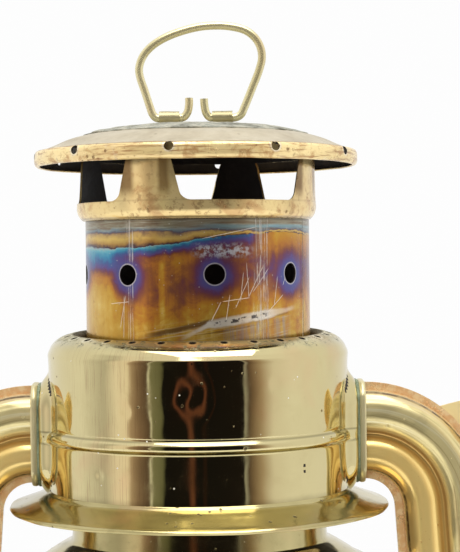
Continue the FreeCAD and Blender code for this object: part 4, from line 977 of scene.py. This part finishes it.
m_tent = brass("tent_brass", (1.0, 0.79, 0.38), (0.66, 0.45, 0.16), 0.12, 0.6, 0.45, 0.05, 0.12, 17.0, 300.0, 0.02, copper=0.25, metal=0.62, extra=tent_wear)
tent = lathe("vent_band", *(lambda lb: (lb[0], [m_tent, m_soot], lb[1]))(sheet(curve(tent_line, 0.8), 0.6, 1.0)), warp=tent_warp)
wins = []
w0 = 39.7 * sin(radians((90 - 24.8) / 2))
for k in range(4):
    mid = radians(-22.6 + 45 + 90 * k)
    out = []
    lean, z0, z1, rc = 2.0, 308.3, 323.4, 3.4
    wt, wb = w0 + lean * 3.1 / 12.0, w0 - lean
    slope = atan2(z1 - z0, wt - wb)                # sides lean outwards going up
    for sgn in (1, -1):
        arc = []
        t = rc / math.tan((pi - slope) / 2)
        cx, cz = wb - t, z0 + rc
        for i in range(9):
            b = -pi / 2 + (pi / 2 + (pi / 2 - slope) * -1 + 0.0) * i / 8 if False else -pi / 2 + slope * i / 8
            arc.append((sgn * (cx + rc * cos(b)), cz + rc * sin(b)))
        arc.append((sgn * (wt + 0.25), z1 - 2.0))
        arc.append((sgn * (wt + 0.9), z1))
        out = out + (arc if sgn == 1 else arc[::-1])
    ca, sa = cos(mid), sin(mid)
    def place(p, e, ca=ca, sa=sa):
        r = 22.0 + 30.0 * e
        return (r * sa + p[0] * ca, -r * ca + p[0] * sa, p[1])
    wins.append(prism_geo(out, place))
cut(tent, wins, 0)
piece(tent, "hood", ["vent_tent"])


def sleeve_warp(a, r, z, back):
    x, y = r * sin(a), -r * cos(a)
    d = degrees(a)
    lap = 0.20 * sstep(d, 65.2, 65.9) * (1 - sstep(d, 80.0, 120.0)) if z > 220 else 0.0
    return r + lap + 0.07 * wobble(x, y, z * 0.6, 14.0, 11.0) + 0.15 * sin(a), z


sleeve = lathe("chimney_sleeve", *(lambda lb: (lb[0], [m_tint, m_soot], lb[1]))(sheet(curve([(37.06, 303.8), (37.06, 282.0), (37.06, 250.0), (37.06, 217.8)], 2.2), 0.6, -1.0)), warp=sleeve_warp)
cut(sleeve, [rod_geo(pol(30, 8.5 + 45 * k, 285.0), pol(1, 8.5 + 45 * k), 3.25, 12.0, 40) for k in range(8)], 1)
piece(sleeve, "hood", ["chimney_collar"])

bell_line = [(37.4, 218.15), (41.4, 218.15), (42.1, 217.7), (42.3, 216.8), (42.3, 208.0), (42.3, 199.4), (42.5, 198.0), (43.2, 197.0), (45.8, 195.7), (50.0, 193.2), (53.6, 190.8), (55.8, 189.7), (56.9, 189.2), (57.35, 188.5), (57.1, 187.95)]


def bell_warp(a, r, z, back):
    x, y = r * sin(a), -r * cos(a)
    return r + 0.08 * wobble(x, y, z, 16.0, 12.0), z


bell = lathe("bell", *(lambda lb: (lb[0], [m_skirt, m_soot], lb[1]))(sheet(curve(bell_line, 0.9), 0.6, -1.0)), warp=bell_warp)
bell.name = "globe_bell"
piece(bell, "hood", ["bell"])

# ------------------------------------------------------------------ crown
SOCK_X, TUBE_Z = 52.4, 232.15


def oval_dist(y, z, hy, hz, r):
    """Distance outside a rounded rectangle of half sizes hy, hz."""
    qy, qz = abs(y) - (hy - r), abs(z) - (hz - r)
    return hypot(max(qy, 0.0), max(qz, 0.0)) + min(max(qy, qz), 0.0) - r


def crown_warp(a, r, z, back):
    x, y = r * sin(a), -r * cos(a)
    deg = degrees(a)
    depth = min(1.0, max(0.0, (r - 47.0) / 2.0))
    # loose unevenness of the sheet
    d = (0.10 * wobble(x, y, z * 0.8, 21.0, 21.0) + 0.045 * wobble(x, y, z, 8.0, 22.0)) * depth
    # one broad dent at the front, two small dimples low down
    u = (deg + 2.6) * 0.867
    q = (u / 9.2) ** 2 + ((z - 248.0) / 9.8) ** 2
    if q < 1.0:
        d -= 0.62 * (1 - q) ** 2 * (1.0 + 0.30 * wobble(x, y, z, 4.5, 23.0))
    for dd, dz, dr in ((-38.5, 222.9, 1.9), (40.2, 224.2, 1.7), (-27.0, 243.0, 2.6), (29.0, 251.0, 3.0)):
        e = (((deg - dd) * 0.867) ** 2 + (z - dz) ** 2) / dr ** 2
        if e < 1:
            d -= (0.34 if dr < 2 else 0.10) * (1 - e) ** 2
    r += d
    # the shoulder has settled a little at the front
    z -= 1.0 * cos(a) * sstep(z, 254.0, 262.0)
    # the wall is drawn out to a flat boss where each tube enters
    sa = abs(sin(a))
    if sa > 0.8:
        w = 1.0 - sstep(oval_dist(y, z - TUBE_Z, 10.0, 16.3, 8.0), -0.4, 5.2)
        target = SOCK_X / sa - (0.6 if back else 0.0)
        r += (target - r) * w
    return r, z


shell_line = [(39.15, 263.3), (39.2, 264.1), (39.7, 264.95), (40.6, 265.35), (41.9, 265.4), (43.6, 265.0), (45.3, 264.4), (46.8, 263.55), (47.95, 262.6), (48.8, 261.5), (49.35, 260.3), (49.75, 259.4), (49.9, 258.6), (49.8, 257.2), (49.67, 255.0), (49.67, 244.0), (49.67, 234.76)]
sock_cut = []
for sgn in (1, -1):
    out = []
    for k in range(32):
        b = 2 * pi * k / 32
        cy, cz = (9.3 - 7.4) * (1 if cos(b) > 0 else -1), (15.6 - 7.4) * (1 if sin(b) > 0 else -1)
        out.append((cy + 7.4 * cos(b), cz + 7.4 * sin(b)))
    sock_cut.append(prism_geo(out, lambda p, e, s=sgn: (s * (40.0 + 20.0 * e), p[0], TUBE_Z + p[1])))
shell = lathe("crown_dome", *(lambda lb: (lb[0], [m_crown, m_soot], lb[1]))(sheet(curve(shell_line, 0.9), 0.6, -1.0)), warp=crown_warp, seg=360)
cut(shell, [rod_geo(pol(43.5, -2.2 + 360 / 28 * k, 255.0), (0, 0, 1), 1.15, 16.0, 20) for k in range(28)] + sock_cut, 1)
piece(shell, "lantern_frame", ["crown_shell"])

body_line = [(49.67, 234.7), (49.68, 234.3), (49.9, 233.95), (50.4, 233.55), (50.8, 232.9), (50.95, 232.1), (50.8, 231.3), (50.4, 230.7), (49.9, 230.35), (49.68, 229.9), (49.67, 222.0), (49.67, 214.8), (49.7, 213.4)]
cbody = lathe("crown_drum", *(lambda lb: (lb[0], [m_crown, m_soot], lb[1]))(sheet(curve(body_line, 0.8), 0.6, -1.0)), warp=crown_warp, seg=360)
cut(cbody, sock_cut, 1)
piece(cbody, "lantern_frame", ["crown_body", "tube_socket_left", "tube_socket_right"])


def skirt_warp(a, r, z, back):
    x, y = r * sin(a), -r * cos(a)
    k = sstep(r, 50.0, 56.0)
    return r + 0.12 * wobble(x, y, 0, 14.0, 31.0) * k, z + 0.22 * wobble(x, y, 0, 12.0, 32.0) * k


skirt_line = [(49.85, 214.3), (50.3, 213.6), (51.3, 212.95), (54.2, 211.9), (57.4, 210.75), (60.2, 209.75), (61.9, 209.2), (62.6, 208.85), (62.85, 208.35), (62.6, 207.8), (61.9, 207.65)]
skirt = lathe("crown_skirt", *(lambda lb: (lb[0], [m_skirt, m_soot], lb[1]))(sheet(curve(skirt_line, 0.7), 0.6, -1.0)), warp=skirt_warp)
piece(skirt, "lantern_frame", ["skirt"])


def oval_ring(name, sgn, sec, hy, hz, r, mats, rough=0.0, seed=0.0):
    """A ring round a tube's end. sec is its closed section: (distance along X, distance outwards)."""
    n = 120
    pts = []
    for k in range(n):
        b = 2 * pi * k / n
        cy, cz = (hy - r) * max(-1, min(1, cos(b) * 3)), (hz - r) * max(-1, min(1, sin(b) * 3))
        pts.append((cy + r * cos(b), cz + r * sin(b), cos(b), sin(b)))
    co, fs, m = [], [], len(sec)
    for y, z, ny, nz in pts:
        w = rough * (wobble(y, z, 0, 1.6, seed) + 0.6 * wobble(y, z, 0, 0.7, seed + 1)) if rough else 0.0
        for x, o in sec:
            o2 = o + (w if o > 0.4 else 0.0)
            co.append((sgn * (x + (w * 0.3 if 0.4 < o else 0)), y + ny * o2, TUBE_Z + z + nz * o2))
    for k in range(n):
        k2 = (k + 1) % n
        for i in range(m):
            j = (i + 1) % m
            fs.append((k * m + i, k2 * m + i, k2 * m + j, k * m + j))
    return solid(name, co, fs, mats, True, 40.0)


m_band = brass("band_brass", (0.74, 0.66, 0.38), (0.48, 0.42, 0.22), 0.28, 0.5, 0.5, 0.2, 0.12, 18.0, copper=0.25, metal=0.55)
for side, sgn in (("right", 1), ("left", -1)):
    sec = [(53.0, 0.0), (53.0, 0.55), (53.3, 0.85), (53.9, 0.98), (54.6, 0.92), (55.0, 0.6), (55.1, 0.0)]
    o = oval_ring("tube_collar_" + side, sgn, sec, 9.75, 16.2, 7.0, [m_band], 0.05, 3.0)
    piece(o, "lantern_frame", ["joint_band_" + side])
    sec = [(51.6, 0.0), (51.7, 0.7), (52.3, 0.95), (52.8, 0.85), (53.05, 0.5), (53.1, 0.0)]
    o = oval_ring("solder_" + side, sgn, sec, 9.75, 16.2, 7.2, [m_verdigris], 0.28, 7.0 if sgn > 0 else 9.0)
    piece(o, "lantern_frame", ())

# ------------------------------------------------------------------ lifting ring and its clips
ring_pts = [(-2.1, 343.4), (-2.15, 341.0), (-2.7, 338.6), (-3.9, 337.15), (-5.6, 336.8), (-10.0, 336.8), (-13.0, 336.85), (-14.3, 338.2), (-15.1, 340.4), (-16.8, 345.8), (-18.4, 350.8), (-18.6, 353.6),
            (-17.3, 357.3), (-14.7, 360.4), (-10.9, 363.0), (-5.4, 365.3), (1.2, 366.95), (6.8, 367.4), (12.0, 367.05), (17.0, 365.7), (20.2, 363.1), (21.9, 359.9), (22.3, 356.6), (21.4, 352.7),
            (18.9, 346.4), (16.2, 339.9), (15.2, 337.9), (13.4, 336.85), (9.5, 336.8), (6.2, 336.8), (4.7, 337.0), (3.5, 338.5), (3.0, 340.9), (2.85, 343.1)]
fine = curve(ring_pts, 0.55)
wire = [(x, 0.22 * wobble(x, z, 0, 13.0, 41.0) * sstep(z, 338.6, 344.6), z) for x, z in fine]
ring = tube_mesh("lifting_wire", wire, 1.34, [m_wire], 26, shape=lambda i, a: 1.0 + 0.02 * mnoise.noise(Vector((i * 0.07, a, 0))))
piece(ring, "lifting_ring", ["lifting_ring"])


def clip(name, x0, x1, seed):
    r1 = 2.26
    top = 333.35
    line = [(-5.0, top + 0.62), (-3.4, top + 0.62), (-2.5, top + 0.85)]
    for k in range(15):
        b = radians(222 - 264 * k / 14)
        line.append((r1 * cos(b), 336.8 + r1 * sin(b)))
    line += [(2.5, top + 0.85), (3.4, top + 0.62), (5.0, top + 0.62)]
    loop, _ = sheet(curve([(p[0], p[1]) for p in line], 0.35), 0.68, -1.0)
    n = len(loop)
    xs = [x0 + (x1 - x0) * k / 10 for k in range(11)]
    co, fs = [], []
    for x in xs:
        for y, z in loop:
            e = 0.10 * wobble(x, y, z, 3.0, seed)
            end = (0.25 * wobble(y, z, 0, 2.4, seed + 2)) if x in (x0, x1) else 0.0
            co.append((x + end, y + e * 0.6, z + (e if z > 335.9 else 0.0)))
    for k in range(10):
        for i in range(n):
            j = (i + 1) % n
            fs.append((k * n + i, k * n + j, (k + 1) * n + j, (k + 1) * n + i))
    # ends, closed as strips between the face and the back of the sheet
    half = n // 2
    for base in (0, 10 * n):
        for i in range(half - 1):
            a, b = i, i + 1
            c, d = (n - 1 - i), (n - 2 - i)
            if b < d:
                fs.append((base + a, base + b, base + d, base + c))
    return solid(name, co, fs, [m_clip], True, 40.0)


piece(clip("ring_strap_left", -12.1, -5.4, 1.0), "hood", ["ring_clip_left"])
piece(clip("ring_strap_right", 5.6, 12.3, 2.0), "hood", ["ring_clip_right"])

# ------------------------------------------------------------------ the spring between the crown and the bell, copied from its CAD mesh; it does not shorten here as the hood is lifted
node = frame["nodes"]["hood_spring"]
mw = node.matrix_world.copy()
me = bpy.data.meshes.new("hold_down_spring")
me.from_pydata([tuple(mw @ v.co) for v in node.data.vertices], [], [tuple(f.vertices) for f in node.data.polygons])
me.materials.append(m_steel)
spring = bpy.data.objects.new("hold_down_spring", me)
scene.collection.objects.link(spring)
for f in me.polygons:
    f.use_smooth = True
piece(spring, "lantern_frame", ["hood_spring"])
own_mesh(spring)
# ------------------------------------------------------------------ studio
w = bpy.data.worlds.new("studio")
scene.world = w
w.use_nodes = True
w.node_tree.nodes.clear()
T = Tree(w.node_tree)
wo = T.node("ShaderNodeOutputWorld")
bg = T.node("ShaderNodeBackground")
bg_cam = T.node("ShaderNodeBackground")
mixer = T.node("ShaderNodeMixShader")
lp = T.node("ShaderNodeLightPath")
g = T.node("ShaderNodeTexCoord").outputs["Generated"]
s = T.split(g)
az = T.mul(T.math("ARCTAN2", s[0], T.mul(s[1], -1.0)), 180.0 / pi)     # 0 towards the camera, + to the right
el = T.mul(T.math("ARCSINE", s[2]), 180.0 / pi)
E = T.ramp(T.lin(az, -180.0, 180.0), [
    (0.0, (0.92, 0.92, 0.92)), ((180 - 100) / 360, (0.95, 0.95, 0.95)), ((180 - 75) / 360, (0.62, 0.60, 0.58)), ((180 - 64) / 360, (1.0, 0.93, 0.90)), ((180 - 55) / 360, (1.0, 0.90, 0.84)),
    ((180 - 52) / 360, (0.52, 0.40, 0.32)), ((180 - 47) / 360, (0.30, 0.21, 0.16)), ((180 - 38) / 360, (0.12, 0.08, 0.06)), ((180 - 36.6) / 360, (0.80, 0.80, 0.75)), ((180 - 35.6) / 360, (0.24, 0.24, 0.16)), ((180 - 27.5) / 360, (0.16, 0.165, 0.10)),
    ((180 - 25.5) / 360, (0.010, 0.009, 0.009)), ((180 - 8) / 360, (0.012, 0.010, 0.009)), ((180 - 6) / 360, (0.15, 0.060, 0.038)), ((180 - 4.6) / 360, (0.15, 0.060, 0.038)), ((180 - 2.5) / 360, (0.010, 0.009, 0.009)), ((180 + 3.5) / 360, (0.010, 0.009, 0.009)), ((180 + 5) / 360, (0.035, 0.016, 0.011)), ((180 + 6.5) / 360, (0.010, 0.009, 0.009)), ((180 + 34.8) / 360, (0.014, 0.011, 0.010)),
    ((180 + 35.7) / 360, (0.95, 0.95, 0.9)), ((180 + 36.8) / 360, (0.08, 0.06, 0.05)), ((180 + 41) / 360, (0.22, 0.155, 0.11)), ((180 + 48) / 360, (0.46, 0.36, 0.28)), ((180 + 58) / 360, (0.85, 0.82, 0.80)), ((180 + 75) / 360, (0.95, 0.95, 0.95)), (1.0, (0.92, 0.92, 0.92))])
up = T.smooth(el, 34.0, 48.0)
dn = T.smooth(el, -22.0, -34.0)
E2 = T.mix(up, E, (1.0, 1.0, 1.0))
E2 = T.mix(dn, E2, (0.80, 0.80, 0.80))
T.l.new(E2, bg.inputs[0])
bg.inputs[1].default_value = 1.0
bg_cam.inputs[0].default_value = (0.985, 0.985, 0.985, 1)
bg_cam.inputs[1].default_value = 1.0
T.l.new(T.maxi(lp.outputs["Is Camera Ray"], lp.outputs["Is Transmission Ray"]), mixer.inputs[0])
T.l.new(bg.outputs[0], mixer.inputs[1])
T.l.new(bg_cam.outputs[0], mixer.inputs[2])
T.l.new(mixer.outputs[0], wo.inputs[0])

# pale floor, ending before it would rise into the picture
fm, FT = new_mat("floor_paper")
nz = FT.noise(FT.obj, 12.0, 4.0, 0.6)
FT.put(FT.bsdf.inputs["Base Color"], FT.mix(nz, (0.86, 0.86, 0.855), (0.82, 0.82, 0.815)))
FT.bsdf.inputs["Roughness"].default_value = 0.7
me = bpy.data.meshes.new("floor")
me.from_pydata([(-0.6, -0.4, -0.0002), (0.6, -0.4, -0.0002), (0.6, 0.6, -0.0002), (-0.6, 0.6, -0.0002)], [], [(0, 1, 2, 3)])
floor = bpy.data.objects.new("floor", me)
scene.collection.objects.link(floor)
me.materials.append(fm)


def area(name, loc, target, size, power, color=(1, 1, 1), size_y=None):
    d = bpy.data.lights.new(name, "AREA")
    d.shape = "RECTANGLE"
    d.size = size
    d.size_y = size_y or size
    d.energy = power
    d.color = color
    o = bpy.data.objects.new(name, d)
    scene.collection.objects.link(o)
    o.location = loc
    o.rotation_mode = "QUATERNION"
    o.rotation_quaternion = (Vector(target) - Vector(loc)).to_track_quat("-Z", "Y")
    return o


area("soft_top", (0.1, -0.3, 1.35), (0, 0, 0.25), 1.0, 10.0)
fill = area("front_fill", (-0.12, -1.1, 0.42), (0, 0, 0.27), 0.8, 6.0)
fill.visible_glossy = False
